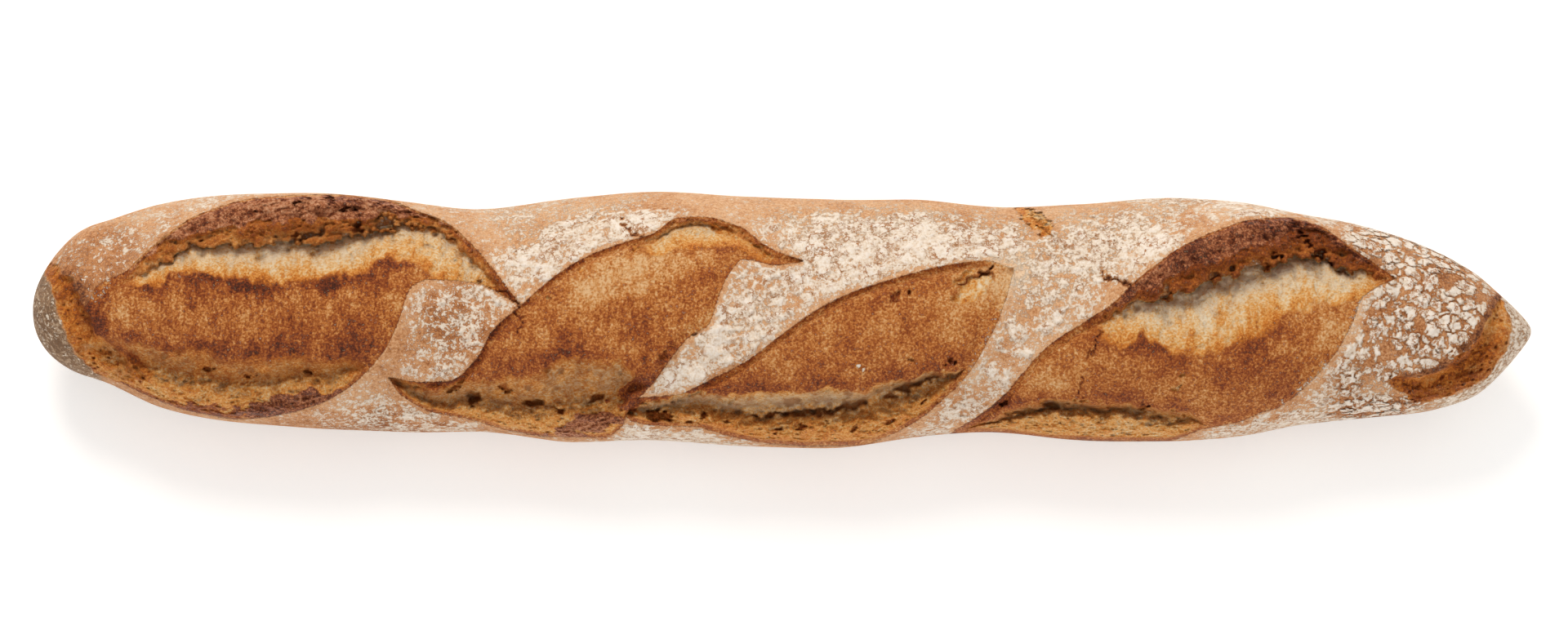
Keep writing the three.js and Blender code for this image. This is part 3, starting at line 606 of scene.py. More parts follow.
# ---- The torn and baked surface ----
def measure_cut(cut, x, v):
    """Distances from a cut's lip and heel, and the sizes of its ear and tear there."""
    m = {name: read_line(cut["ear"], x, n + 1) for n, name in enumerate(("height", "face", "gape"))}
    m["width"], m["depth"] = read_line(cut["tear"], x, 1), read_line(cut["tear"], x, 2)
    m["below_lip"] = (read_line(cut["lip"], x) - v) * slant(cut["lip"], x)
    m["above"] = v - read_line(cut["heel"], x)
    m["square"] = m["above"] * slant(cut["heel"], x)
    m["there"] = (x > cut["lip"][0][0]) & (x < cut["lip"][-1][0])
    # How far inside the cut a point lies, or how far outside where that is below 0.
    m["into"] = np.where(m["there"], np.minimum(m["below_lip"], m["square"]), OUTSIDE)
    m["inside"] = m["into"] > 0
    return m


LUMPS = {  # name: size in mm, seed, and how far it is drawn out in x, y and z
    "broad": (9, 1, (1, 1, 1)), "coarse": (3.6, 2, (1, 1, 1)), "mid": (1.8, 3, (1, 1, 1)),
    "fine": (0.95, 4, (1, 1, 1)), "rag": (2.7, 13, (1, 1, 1)), "blister": (1.5, 17, (1, 1, 1)),
    "fibre": (1.1, 5, (1, 3.4, 3.4)), "ripple": (1.6, 61, (1, 2.6, 2.6)), "tongue": (3.4, 65, (1, 4, 4)),
    "cake": (4.8, 81, (1, 1, 1)), "cake_mid": (2.3, 82, (1, 1, 1)), "cake_fine": (1.15, 83, (1, 1, 1)),
}  # fmt: skip
HOLES = {"big": (4.4, 21, 0.5), "small": (1.9, 31, 0.6), "rare": (5, 41, 0.35)}  # size in mm, seed, share


class Surface:
    """The baked surface at some places: its height over the dough and what it looks like.

    A plain one leaves out the grain, pores and raggedness.
    """

    def __init__(self, place, plain=False):
        self.place = place
        x, v = place.x, place.v
        count = len(x)
        if plain:
            self.grains = dict.fromkeys([*LUMPS, *HOLES], np.zeros(count))
        else:
            self.grains = {name: grain(place.spot, *lump) for name, lump in LUMPS.items()}
            self.grains.update({name: pores(place.spot, *hole) for name, hole in HOLES.items()})
        self.height = np.zeros(count)
        self.into = np.full(count, OUTSIDE)
        for look in ("bake", "crumb", "ear", "streak", "pore"):
            setattr(self, look, np.zeros(count))
        self.lay_skin()
        claimed = np.zeros(count, bool)
        beside = np.zeros(count)
        self.bare = np.zeros(count)
        for cut in CUTS:
            m = measure_cut(cut, x, v)
            lip_side = m["below_lip"] <= 0
            distance = np.where(lip_side, m["below_lip"] / LIP_SPREAD, m["square"] / HEEL_SPREAD)
            lift = np.where(lip_side, m["height"], HEEL_ROLL) * np.exp(-(distance**2))
            beside = np.where(m["there"], np.maximum(beside, lift), beside)
            bare = np.exp(-((m["into"] / RUBBED) ** 2))
            self.bare = np.where(m["there"], np.maximum(self.bare, bare), self.bare)
            inside = m["inside"] & ~claimed
            chosen = inside | (~claimed & (m["into"] > self.into))
            self.open_cut(cut, m, inside, chosen)
            claimed |= inside
        self.inside = claimed
        for patch in FADES:
            self.into += patch[5] * blot(x, v, patch)
            self.load *= 1 - FLOUR_LOST * blot(x, v, patch)
        self.height = np.where(claimed, self.height, beside)
        self.lay_over(0.6 * self.bare, skin=RUBBED_SKIN)
        self.cake_flour()
        self.split_tips()
        self.break_crust()
        self.roughen()
        self.into = np.clip(self.into, -DEEP_INSIDE, DEEP_INSIDE)
        self.bake = np.minimum(self.bake, DARKEST_BAKE)
        self.skin = np.minimum(self.skin, DARKEST_SKIN)

    def lay_over(self, share, **looks):
        """Gives looks new values where share is 1, the old ones where it is 0, and a mix between."""
        for look, value in looks.items():
            setattr(self, look, mix(getattr(self, look), value, share))

    def lay_skin(self):
        """Skin: how much flour lies on it, how brown it is, and where it lay on the oven floor."""
        place, g = self.place, self.grains
        load = np.full(len(place.x), THIN_LOAD)
        for patch in FLOUR:
            load = np.maximum(load, blot(place.x, place.v, patch) * patch[5])
        self.load = load
        edge = ease(place.share, 0.7, 1.0)
        # The skin is paler towards the far edge and browner towards the near edge.
        self.skin = SKIN_BROWN - 0.06 * edge + 0.08 * ease(-place.share, 0.6, 1.0) + 0.06 * g["broad"]
        self.skin += BROWN_END_AMOUNT * blot(place.x, place.v, BROWN_END)
        self.hearth = ease(place.below, 0.15, 0.7)
        self.lay_over(self.hearth, load=HEARTH_LOAD, skin=HEARTH_SKIN)

    def cake_flour(self):
        """Flour on the skin: lumpy where it lies thick, clotted at the pointed end, and dust elsewhere."""
        place, g = self.place, self.grains
        caked = 0.42 * g["cake"] + 0.45 * g["cake_mid"] + 0.5 * g["cake_fine"]
        patchy = 0.26 + 0.3 * ease(self.load, 0.4, 0.6) - 0.2 * ease(self.load, 0.8, 1)
        cover = self.load * (1 - 0.7 * self.bare) + patchy * caked
        ragged = place.spot + 0.8 * np.stack([g["mid"], g["rag"], g["fine"]], axis=1)
        near, far, number = clods(ragged, CLOD_SIZE, 71)
        clot = 0.05 + 1.32 * ease(far - near, 0.15, 0.95) * (number > 0.1) + 0.2 * caked
        rows = np.abs(np.sin(math.pi * place.x / CLOD_ROWS + 0.5 * g["broad"]))
        clot -= 0.7 * (1 - ease(rows, 0.0, 0.25))
        clotted = ease(place.x + 3 * g["coarse"], *CLODS_BEGIN) * (place.below < 0.3)
        clotted *= ease(self.load, 0.35, 0.6)
        self.flour = mix(cover, mix(0.3, clot, np.minimum(1, self.load + 0.1)), clotted)
        self.skin += CLOD_SKIN * clotted
        self.flour = np.where(self.inside & (self.load < STRAY_LOAD), NO_FLOUR, self.flour)
        mound = mix(MOUND, CLOD_MOUND, clotted)
        self.height += mound * np.tanh(1.9 * np.maximum(self.flour - 0.5, 0))
        thick = ease(self.flour, 0.6, 1.0)
        self.height += thick * (0.25 * g["mid"] + 0.38 * g["cake_mid"] + 0.2 * g["cake_fine"])

    def open_cut(self, cut, m, inside, chosen):
        """A cut: its ear's dark face and torn underside, the gape, the bulging crust and the lower tear."""
        g = self.grains
        s, above = m["below_lip"], m["above"]
        big = np.clip(m["face"] / 5, 0.12, 1)
        dark_end = read_line(cut["dark"], self.place.x) + big * (1.1 * g["coarse"] + 0.5 * g["fine"])
        torn_end = m["face"] + big * (1.6 * g["rag"] + 0.6 * g["mid"] + 0.6 * g["fine"])
        dark_end = np.maximum(np.minimum(dark_end, torn_end - 0.8), 0.3)
        torn_end = np.maximum(torn_end, dark_end + 0.6)
        rise = read_line(cut["rise"], self.place.x) * np.clip(m["gape"] / 2.5, 0.12, 1)
        brow = m["face"] + rise + (1.1 * g["tongue"] + 0.9 * g["ripple"] + 0.8 * g["coarse"]) * big
        climb = np.clip((s - torn_end - 0.6) / np.maximum(brow - torn_end, 1), 0, 1)
        fall = mix(m["height"], 0.5 * m["height"], ease(s, 0, dark_end))
        fall = mix(fall, 0.15 * m["height"], ease(s, dark_end, torn_end))
        fall = mix(fall, -m["gape"], ease(s, torn_end, torn_end + 1.0))
        from_lip = mix(fall, cut["bulge"], 1 - (1 - climb) ** 2)

        wander = 0.9 * g["broad"] + 0.7 * g["coarse"] + 0.45 * g["mid"] + 0.4 * g["fine"]
        edge = m["width"] + np.clip(m["width"] / 8, 0, 1) * wander
        wall = read_line(cut["wall"], self.place.x)
        ledge_end, deepest = edge * cut["shelf"][0], np.maximum(edge * cut["shelf"][1], 1)
        floor = mix(HEEL_ROLL, -m["depth"], ease(above, ledge_end, deepest))
        torn = mix(floor, cut["bulge"], ease(above, edge - wall, edge))
        rim = mix(HEEL_ROLL, cut["bulge"], ease(m["square"], 0, HEEL_SPREAD))
        low = np.where(m["depth"] > 0, np.minimum(torn, rim), rim)

        gaping = np.clip((m["gape"] - cut["open"]) / 2, 0, 1)
        past_dark = ease(s, dark_end - 0.3, dark_end + 0.3)
        past_torn = ease(s, torn_end + 0.5, torn_end + 1.5)
        on_face = (1 - past_dark) * np.clip((m["face"] - 1.2) / 1.2, 0, 1)
        lit_edge = ease(s, 0.1, 0.9)
        on_torn = past_dark * (1 - past_torn) * gaping
        in_gape = past_torn * (1 - ease(climb, 0.76, 1.0)) * gaping
        tearing = np.clip((m["depth"] - 1) / 3, 0, 1)
        down = np.clip(above / np.maximum(edge, 1), 0, 1)
        brim = 6 * (cut["ledge"] - 0.4)
        in_tear = (1 - ease(above, edge - 0.5, edge + 0.3)) * ease(m["square"], brim, brim + 1.4) * tearing

        crumbly = 0.5 * g["fibre"] + 0.35 * g["fine"] + 0.5 * g["mid"]
        deep = 1 - ease(climb, 0.2, 0.7)
        gape_grain = 0.8 * crumbly - 1.6 * deep * g["big"] - 0.9 * deep * g["small"]
        tear_grain = 0.7 * g["coarse"] + 0.6 * g["mid"] + 0.45 * g["fine"]
        tear_grain -= 2.4 * g["big"] * ease(down, 0.2, 0.5)
        tear_grain -= 1.1 * g["small"]
        on_wall = ease(above + 0.8 * g["coarse"], edge - wall - 1, edge - wall + 1)
        torn_grain = 0.6 * g["rag"] + 0.7 * g["mid"] + 0.45 * g["fine"] - 0.8 * g["small"]
        face_grain = 0.34 * g["blister"] + 0.2 * g["fine"] + 0.3 * g["coarse"]
        texture = in_gape * gape_grain + in_tear * (1 - 0.6 * on_wall) * tear_grain
        texture += on_torn * torn_grain
        texture += on_face * face_grain

        bake = cut["bake"] + 0.07 * g["broad"] + 0.05 * g["coarse"]
        line = np.exp(-(((s - brow - 0.5) / 1.8) ** 2)) * gaping
        bake += cut["line"] * line * ease(g["broad"] + 0.7 * g["coarse"], -0.8, 0.2)
        bake += 0.12 * np.exp(-(((above - edge - 1.5) / 2.5) ** 2)) * tearing
        from_fold = s + 0.45 * g["mid"] + 0.3 * g["fine"]
        folded = np.exp(-((from_fold / 0.65) ** 2)) * (1 - np.clip((m["face"] - 2) / 3, 0, 1))
        bake += read_line(cut["crease"], self.place.x) * folded
        toast = np.clip(climb + 0.14 * g["tongue"] + 0.1 * g["fibre"], 0, 1.1)
        shallow = 1 - np.clip(m["gape"] / 6, 0, 1)
        bake = mix(bake, 0.03 + 0.54 * toast**1.45 + 0.08 * crumbly + 0.3 * shallow, in_gape)
        orange = 1 - ease(down + 0.16 * g["coarse"] + 0.1 * g["mid"], cut["shelf"][0] + 0.1, cut["shelf"][1])
        # The torn slope under the crust's lower edge is browned partly as painted shade, and browner still
        # just under that edge.
        torn_bake = mix(mix(0.32, cut["ledge"], orange), cut["slope"], on_wall)
        torn_bake += 0.24 * ease(above, edge - 2.8, edge + 0.2)
        bake = mix(bake, torn_bake + 0.07 * tear_grain, in_tear)
        fringe = ease((s - dark_end) / np.maximum(torn_end - dark_end, 0.5), 0.1, 1)
        bake = mix(bake, cut["char"] + mix(0.27, 0.08, fringe) + 0.1 * torn_grain, on_torn)
        bake = mix(bake, cut["char"] + 0.1 * g["coarse"] - 0.08 * g["blister"], on_face)
        # Painted shade: holes, and crumb deep under an edge or under the lip, are darkened and browned.
        shade_under_edge = np.exp(-(((above - edge + wall) / 1.5) ** 2)) * np.clip(m["depth"] / 8, 0, 1)
        shade_on_wall = (0.36 + 0.6 * cut["slope"]) * on_wall
        pore = in_tear * np.clip(0.25 * shade_under_edge + shade_on_wall - (0.25 - 0.15 * orange) * tear_grain, 0, 1)
        shade_under_lip = 0.1 * (1 - ease(climb, 0.05, 0.4))
        pore = np.maximum(pore, in_gape * np.clip(shade_under_lip - 0.22 * gape_grain, 0, 1))
        pore = np.maximum(pore, on_torn * np.clip(-0.15 - 0.3 * torn_grain, 0, 0.7))
        pore = np.maximum(pore, on_face * 0.7 * ease(-g["blister"], 0.45, 0.8))

        torn_part = np.maximum(in_gape, in_tear)
        covered = np.maximum(torn_part, np.maximum(on_face, on_torn))
        self.height = np.where(inside, from_lip + low - cut["bulge"] + texture, self.height)
        self.into = np.where(chosen, m["into"], self.into)
        self.bake = np.where(chosen, bake, self.bake)
        self.crumb = np.where(chosen, np.maximum(torn_part, 0.45 * on_torn), self.crumb)
        self.pore = np.where(inside, pore, self.pore)
        self.ear = np.where(chosen, on_face * lit_edge, self.ear)
        self.streak = np.where(chosen, cut["streaks"] * (1 - covered), self.streak)

    def split_tips(self):
        """The bursts at both tips: a smooth band of torn dough under a broken, dark edge of crust."""
        x, v, g = self.place.x, self.place.v, self.grains
        for burst in BURSTS:
            distance, side, half, depth = from_path(burst["path"], x, v)
            distance = distance + 0.5 * g["coarse"] + 0.3 * g["mid"]
            t = side * burst["inner"] * distance / half
            near = 1 - ease(distance, half, half + 0.8)
            bowl = (1 - ease(t + 0.08 * g["coarse"], 0.7, 1.0)) * ease(t, -1.05, 0.5)
            band = (1 - ease(t, 0.92, 1.04)) * ease(t, -1.15, -0.9) * near
            self.height = self.height - depth * bowl * near + band * (0.4 * g["mid"] + 0.25 * g["fine"])
            self.height -= 1.1 * band * g["small"] * ease(depth, 2, 4)
            toasted = mix(*burst["bake"], ease(-v, 0, BURST_FADE)) + 0.12 * g["coarse"] + 0.12 * g["mid"]
            self.lay_over(
                band, crumb=0.6 + 0.3 * g["coarse"], bake=toasted, pore=0.8 * g["small"], into=DEEP_INSIDE
            )
            self.streak *= 1 - band
            broken = np.exp(-(((t - 1) * half - 0.8) ** 2) / 2.2) * (t > 0.9) * ease(depth, 0.8, 2)
            broken *= ease(g["broad"] + 0.6 * g["coarse"], -1.3, -0.6)
            self.lay_over(broken, bake=0.8 + 0.1 * g["mid"], skin=0.8 + 0.1 * g["mid"])
            self.lay_over(np.maximum(band, 0.8 * broken), flour=NO_FLOUR)
            on_floor = ease(np.abs(x), burst["floor"] - FLOOR_FADE, burst["floor"])
            outer = ease(-t, 0.95, 1.15) * (distance < BURST_REACH) * on_floor
            self.hearth = np.maximum(self.hearth * (1 - band), burst["soot_and_shade"] * outer)
            self.lay_over(outer, flour=burst["dust"] + 0.25 * g["cake_fine"], skin=HEARTH_SKIN)

    def break_crust(self):
        """Slots, cracks, scoops and pits, with painted shade in the slots, cracks and pits, and the browner,
        paler and scorched parts.
        """
        g = self.grains
        x = self.place.x + RAGGED * g["mid"] + RAGGED_FINE * g["fine"]
        v = self.place.v + RAGGED * g["rag"] + RAGGED_FINE * g["fine"]
        for path in SLOTS:
            distance, _, half, depth = from_path(path, x, v)
            slot = 1 - ease(distance + 0.6 * g["mid"], 0.2, half)
            self.height -= depth * slot
            self.pore = np.maximum(self.pore, 0.95 * slot)
        for path in CRACKS:
            distance, _, half, depth = from_path(path, x, v)
            cleft = 1 - ease(distance, 0, half + 0.2)
            self.height -= depth * cleft
            # The crust and skin inside a crack are darkened: painted shade.
            self.bake += 0.3 * cleft
            self.skin += 0.4 * cleft
            self.pore = np.maximum(self.pore, 0.6 * cleft)
            self.lay_over(1 - ease(distance, 0.1, 0.8), flour=NO_FLOUR)
        for scoop in SCOOPS:
            hole = ease(blot(x, v, scoop), 0.3, 0.6)
            self.height -= scoop[5] * hole
            self.crumb = np.maximum(self.crumb, hole)
            self.lay_over(
                hole, into=DEEP_INSIDE, bake=0.45 + 0.15 * g["mid"] + 0.1 * g["fine"], flour=NO_FLOUR
            )
            self.streak *= 1 - hole
        for pit in PITS:
            hole = ease(blot(x, v, pit), 0.15, 0.75)
            self.height -= pit[5] * hole
            # The crust in a pit is darkened: painted shade.
            self.bake += 0.1 * hole
            self.pore = np.maximum(self.pore, 0.7 * hole)
        for patch in BROWNING:
            amount = patch[5] * blot(x, v, patch)
            self.bake += amount * (1 - 0.7 * self.crumb)
            self.skin += amount
        for patch in SCORCHES:
            rim = blot(x, v, patch) * self.inside
            rim = ease(rim + (0.3 * g["coarse"] + 0.2 * g["mid"]) * (rim > 0), 0.3, 0.55)
            self.lay_over(rim, bake=patch[5] + 0.08 * g["coarse"])
            self.ear = np.maximum(self.ear, rim * patch[6])
            self.pore *= 1 - rim
            self.crumb *= 1 - rim
            self.height += rim * (0.6 + 0.4 * g["blister"] - 0.9 * g["rare"])

    def roughen(self):
        """The grain of the whole crust, and ripples down the bulging crust inside the cuts."""
        g, place = self.grains, self.place
        bulging = (self.streak > 0) * (1 - np.maximum(self.crumb, self.ear)) * self.inside
        self.height += bulging * (0.14 * g["ripple"] + 0.1 * g["blister"] + 0.07 * g["fine"])
        skin = (1 - self.crumb) * ~self.inside
        self.height += place.full * (0.06 * g["fine"] + 0.12 * g["coarse"]) * skin
        self.height += place.full * self.hearth * (0.3 * g["mid"] + 0.25 * g["fine"])
        self.height = np.maximum(self.height, -DEEPEST * place.thickness) + place.lumps


# ---- Making the pieces ----
def centre_shift():
    """How far the smooth loaf moves in y so that the middle of its box is at 0."""
    along, around = np.linspace(1 - LENGTH / 2, LENGTH / 2 - 1, 300), np.linspace(0, 2 * math.pi, 160)
    x, facing = np.meshgrid(along, around)
    place = Place(x.ravel(), facing.ravel())
    relief = np.zeros(len(place.x))
    for cut in CUTS:
        m = measure_cut(cut, place.x, place.v)
        lip = m["height"] * np.exp(-((m["below_lip"] / LIP_SPREAD) ** 2))
        heel = HEEL_ROLL * np.exp(-((m["square"] / HEEL_SPREAD) ** 2))
        relief = np.where(m["there"], np.maximum(relief, np.maximum(lip, heel)), relief)
    y = place.raised(relief + place.lumps)[:, 1]
    return -(y.min() + y.max()) / 2


shift_y = centre_shift()

# What every point tells the material, mostly from 0 to 1: into is how far inside a cut it is, in mm; bake
# and skin are how brown the torn dough and the skin are; crumb, ear, flour and hearth are how much of each
# it is; the look for holes is painted shade, how far a point in a hole or deep under an edge is darkened;
# and streak is how far the crust was stretched.
LOOKS = ("into", "bake", "skin", "crumb", "ear", "flour", "streak", "hearth", "pore")


def on_table(points):
    """Moves points in mm onto the table, centred as the loaf is, in metres and within its box.

    Points close to the box are eased inwards, in order, so that nothing is cut off flat there.
    """
    moved = (points + np.array([0, shift_y, -FLAT_SPOT])) * MM
    floor = moved[:, 2].copy()
    moved = HIGH - SOFTNESS * np.logaddexp(0, (HIGH - moved) / SOFTNESS)
    moved = LOW + SOFTNESS * np.logaddexp(0, (moved - LOW) / SOFTNESS)
    near_floor = floor < HIGH[2] / 2
    moved[near_floor, 2] = floor[near_floor]
    return np.clip(moved, LOW, HIGH)


def read_points(piece):
    co = np.empty(len(piece.data.vertices) * 3)
    piece.data.vertices.foreach_get("co", co)
    return co.reshape(-1, 3)


def write_points(piece, co):
    piece.data.vertices.foreach_set("co", np.ascontiguousarray(co, dtype=np.float32).ravel())
    piece.data.update()


def write_looks(piece, looks):
    for name, values in looks.items():
        attribute = piece.data.attributes.new(name, "FLOAT", "POINT")
        attribute.data.foreach_set("value", np.asarray(values, np.float32))


def finish_piece(piece, name, material):
    piece.name = name
    piece.data.name = name
    piece.data.materials.clear()
    piece.data.materials.append(material)
    bpy.ops.object.shade_smooth()
    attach(piece, "root")


def into_top(x, facing, x_from=-TOP_END, x_to=TOP_END):
    """Millimetres inside the edges of a piece of top crust."""
    far, near = TOP_FACING
    across = np.minimum(facing - far, near - facing) * HALF_WIDTH
    return np.minimum(np.minimum(x - x_from, x_to - x), across)


def make_base(material):
    """The base: a sphere drawn out along x. Under the top crust it is hollowed."""
    bpy.ops.object.select_all(action="DESELECT")
    bpy.ops.mesh.primitive_uv_sphere_add(segments=BODY_ROUND, ring_count=BODY_ALONG, radius=1)
    piece = bpy.context.active_object
    co = read_points(piece)
    along = np.arccos(np.clip(-co[:, 2], -1, 1)) / math.pi
    around = np.arctan2(co[:, 1], co[:, 0]) / (2 * math.pi) % 1
    even = 2 * along - 1
    x = (LENGTH / 2) * mix(even, -np.cos(math.pi * along), 0.3)
    top = around / TOP_SHARE
    facing = math.pi * np.where(top < 1, top, 1 + (around - TOP_SHARE) / (1 - TOP_SHARE))
    place = Place(x, facing)
    surface = Surface(place)
    hollow = -np.minimum(HOLLOW, HOLLOW_SHARE * place.thickness)
    hollow = np.minimum(hollow, Surface(place, plain=True).height - HOLLOW_GAP)
    hollow = np.maximum(hollow, -HOLLOW_MOST * place.thickness)
    wrapped = np.where(facing > 1.5 * math.pi, facing - 2 * math.pi, facing)
    covered = ease(into_top(x, wrapped), *SUNK_EDGE)
    sunk = place.raised(mix(surface.height, hollow, covered), HOLLOW_INWARD * covered)
    write_points(piece, on_table(sunk))
    write_looks(piece, {name: getattr(surface, name) for name in LOOKS})
    finish_piece(piece, "base_crust", material)
    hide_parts("loaf")


def make_top(number, x_from, x_to, material):
    """A piece of top crust: a grid laid over the dough and given thickness, with its relief on top."""
    far, near = TOP_FACING[0] - LAP / HALF_WIDTH, TOP_FACING[1] + LAP / HALF_WIDTH
    start = max(x_from - LAP, TIP_GAP - LENGTH / 2)
    end = min(x_to + LAP, LENGTH / 2 - TIP_GAP)
    columns, rows = round((end - start) / CELL), round((near - far) * HALF_WIDTH / CELL)
    bpy.ops.object.select_all(action="DESELECT")
    bpy.ops.mesh.primitive_grid_add(x_subdivisions=columns, y_subdivisions=rows, size=2)
    piece = bpy.context.active_object
    bpy.ops.object.mode_set(mode="EDIT")
    bpy.ops.mesh.select_all(action="SELECT")
    bpy.ops.mesh.extrude_region_move(TRANSFORM_OT_translate={"value": (0, 0, 1)})
    bpy.ops.object.mode_set(mode="OBJECT")
    co = read_points(piece)
    x, facing = mix(start, end, (co[:, 0] + 1) / 2), mix(near, far, (co[:, 1] + 1) / 2)
    is_top = co[:, 2] > 0.5
    place, under = Place(x[is_top], facing[is_top]), Place(x[~is_top], facing[~is_top])
    surface = Surface(place)
    beyond = np.minimum(into_top(place.x, facing[is_top], x_from, x_to), 0)
    low = Surface(under, plain=True).height - CRUST_DEPTH * (1 - under.edgeness)
    low = np.maximum(low, np.where(under.edgeness > 0, low, -THINNEST * under.thickness))
    dip = LAP_DIP * beyond**2
    points = np.empty((len(x), 3))
    points[is_top] = place.raised(surface.height + 0.01 - dip * (1 - place.edgeness), dip * place.edgeness)
    points[~is_top] = under.raised(low, CRUST_EDGE * under.edgeness)
    write_points(piece, on_table(points))
    looks = {}
    for look in LOOKS:
        looks[look] = np.full(len(x), 0.3)
        looks[look][is_top] = getattr(surface, look)
    write_looks(piece, looks)
    finish_piece(piece, f"top_crust_{number}", material)


# ---- Materials ----
def shade(hex_colour):
    """An sRGB hex colour as linear red, green and blue, with an alpha of 1."""
    parts = [int(hex_colour[n : n + 2], 16) / 255 for n in (1, 3, 5)]
    return [p / 12.92 if p <= 0.04045 else ((p + 0.055) / 1.055) ** 2.4 for p in parts] + [1.0]


def node(tree, kind, sockets=None, stops=(), output=0, **settings):
    """Adds a node with its settings, fills or feeds its sockets, and returns one of its outputs."""
    made = tree.nodes.new("ShaderNode" + kind)
    for name, value in settings.items():
        setattr(made, name, value)
    for name, value in (sockets or {}).items():
        if isinstance(value, bpy.types.NodeSocket):
            tree.links.new(value, made.inputs[name])
        else:
            made.inputs[name].default_value = value
    for n, (place, colour) in enumerate(stops):
        elements = made.color_ramp.elements
        element = elements[n] if n < 2 else elements.new(place)
        element.position, element.color = place, shade(colour)
    return made.outputs[output] if made.outputs else None


def new_material(name):
    material = bpy.data.materials.new(name)
    material.use_nodes = True
    material.node_tree.nodes.clear()
    return material, material.node_tree


def make_crust_material():
    """Baked wheat crust over open crumb, dusted with wheat flour.

    The skin that was outside the cuts is pinkish tan under off-white flour, caked and cracked where it
    lies thick. The crust that bulged out of the cuts is orange brown, grained with tiny blisters and
    streaked where it stretched, with painted cream highlights on the blisters; the ears are purplish brown
    and a little glossy. Torn crumb is cream, going orange where it toasted, and painted shade makes it khaki
    in its holes and under edges. The underside is greyish brown, partly from the oven floor and partly
    painted shade.
    """
    material, tree = new_material("baked_wheat_crust")
    look = {name: node(tree, "Attribute", output="Fac", attribute_name=name) for name in LOOKS}
    own = node(tree, "TexCoord", output="Object")
    mm = node(tree, "Mapping", {"Vector": own, "Scale": (1000, 1000, 1000)})
    drawn = node(tree, "Mapping", {"Vector": own, "Scale": (1000, 290, 290)})  # 3.5 times as long as wide
    # Blotches of browning, 5 to 10 mm.
    mottle = node(tree, "TexNoise", {"Vector": mm, "Scale": 1 / 8, "Detail": 4, "Roughness": 0.55})
    # Freckles within freckles, from 2 mm down.
    grit = node(tree, "TexNoise", {"Vector": mm, "Scale": 1 / 1.8, "Detail": 8, "Roughness": 0.7})
    # Tiny blisters, just under a millimetre.
    speck = node(tree, "TexNoise", {"Vector": mm, "Scale": 1 / 0.75, "Detail": 3, "Roughness": 0.6})
    # Grains of flour in clumps of 1 to 2 mm.
    powder = node(tree, "TexNoise", {"Vector": mm, "Scale": 1 / 1.5, "Detail": 6, "Roughness": 0.75})
    # Stretch streaks, 1 to 2 mm wide.
    streaks = node(tree, "TexNoise", {"Vector": drawn, "Scale": 1 / 1.4, "Detail": 5, "Roughness": 0.65})

    # The grain of everything baked, around 0.
    grained = node(tree, "Math", {0: mottle, 1: 0.5, 2: -1.35}, operation="MULTIPLY_ADD")
    grained = node(tree, "Math", {0: grit, 1: 0.7, 2: grained}, operation="MULTIPLY_ADD")
    grained = node(tree, "Math", {0: speck, 1: 1.5, 2: grained}, operation="MULTIPLY_ADD")

    # Where the dough was cut, with a ragged edge.
    edge = node(tree, "Math", {0: grit, 1: 1.2, 2: look["into"]}, operation="MULTIPLY_ADD")
    edge = node(tree, "Math", {0: speck, 1: 0.6, 2: edge}, operation="MULTIPLY_ADD")
    inside = node(tree, "MapRange", {"Value": edge, "From Min": 0.78, "From Max": 1.02})

    # Skin: pinkish tan, browner in freckles.
    tanned = node(tree, "Math", {0: grained, 1: 0.7, 2: look["skin"]}, operation="MULTIPLY_ADD")
    skin = node(
        tree, "ValToRGB", {"Fac": tanned},
        [(0.0, "#eacba9"), (0.25, "#ddac80"), (0.45, "#c98e5e"), (0.65, "#a5673a"), (0.85, "#6f3f26"),
         (1.0, "#482418")],
    )  # fmt: skip

    # Bulging crust: orange brown, with streaks where it stretched.
    stretched = node(tree, "Math", {0: streaks, 1: -0.5}, operation="ADD")
    stretched = node(tree, "Math", {0: stretched, 1: look["streak"]}, operation="MULTIPLY")
    browned = node(tree, "Math", {0: grained, 1: look["bake"]}, operation="ADD")
    browned = node(tree, "Math", {0: stretched, 1: 1.3, 2: browned}, operation="MULTIPLY_ADD")
    crust = node(
        tree, "ValToRGB", {"Fac": browned},
        [(0.0, "#f0c28e"), (0.25, "#db9855"), (0.42, "#c67634"), (0.56, "#ac5c24"), (0.7, "#934519"),
         (0.85, "#733316"), (1.0, "#4a2110")],
    )  # fmt: skip

    # Ears: reddish to purplish brown.
    charred = node(tree, "Math", {0: grained, 1: 1.35, 2: look["bake"]}, operation="MULTIPLY_ADD")
    ear = node(
        tree, "ValToRGB", {"Fac": charred},
        [(0.0, "#dda27a"), (0.3, "#c27a4e"), (0.5, "#a05a36"), (0.7, "#743a22"), (1.0, "#3a190f")],
    )  # fmt: skip
    on_ear = node(tree, "MapRange", {"Value": look["ear"], "From Min": 0.2, "From Max": 0.7})
    crust = node(tree, "Mix", {0: on_ear, 6: crust, 7: ear}, output=2, data_type="RGBA")

    # Crumb: cream, going golden and orange brown.
    toasted = node(tree, "Math", {0: grained, 1: 0.75, 2: look["bake"]}, operation="MULTIPLY_ADD")
    crumb = node(
        tree, "ValToRGB", {"Fac": toasted},
        [(0.0, "#f8e2c2"), (0.2, "#f5d09c"), (0.4, "#edaa59"), (0.6, "#d87e2b"), (0.8, "#a5541a"),
         (1.0, "#6e3713")],
    )  # fmt: skip
    torn = node(tree, "Math", {0: grit, 1: 1.8, 2: look["crumb"]}, operation="MULTIPLY_ADD")
    torn = node(tree, "Math", {0: speck, 1: 0.7, 2: torn}, operation="MULTIPLY_ADD")
    torn = node(tree, "MapRange", {"Value": torn, "From Min": 1.52, "From Max": 1.96})
    opened = node(tree, "Mix", {0: torn, 6: crust, 7: crumb}, output=2, data_type="RGBA")
    base = node(tree, "Mix", {0: inside, 6: skin, 7: opened}, output=2, data_type="RGBA")

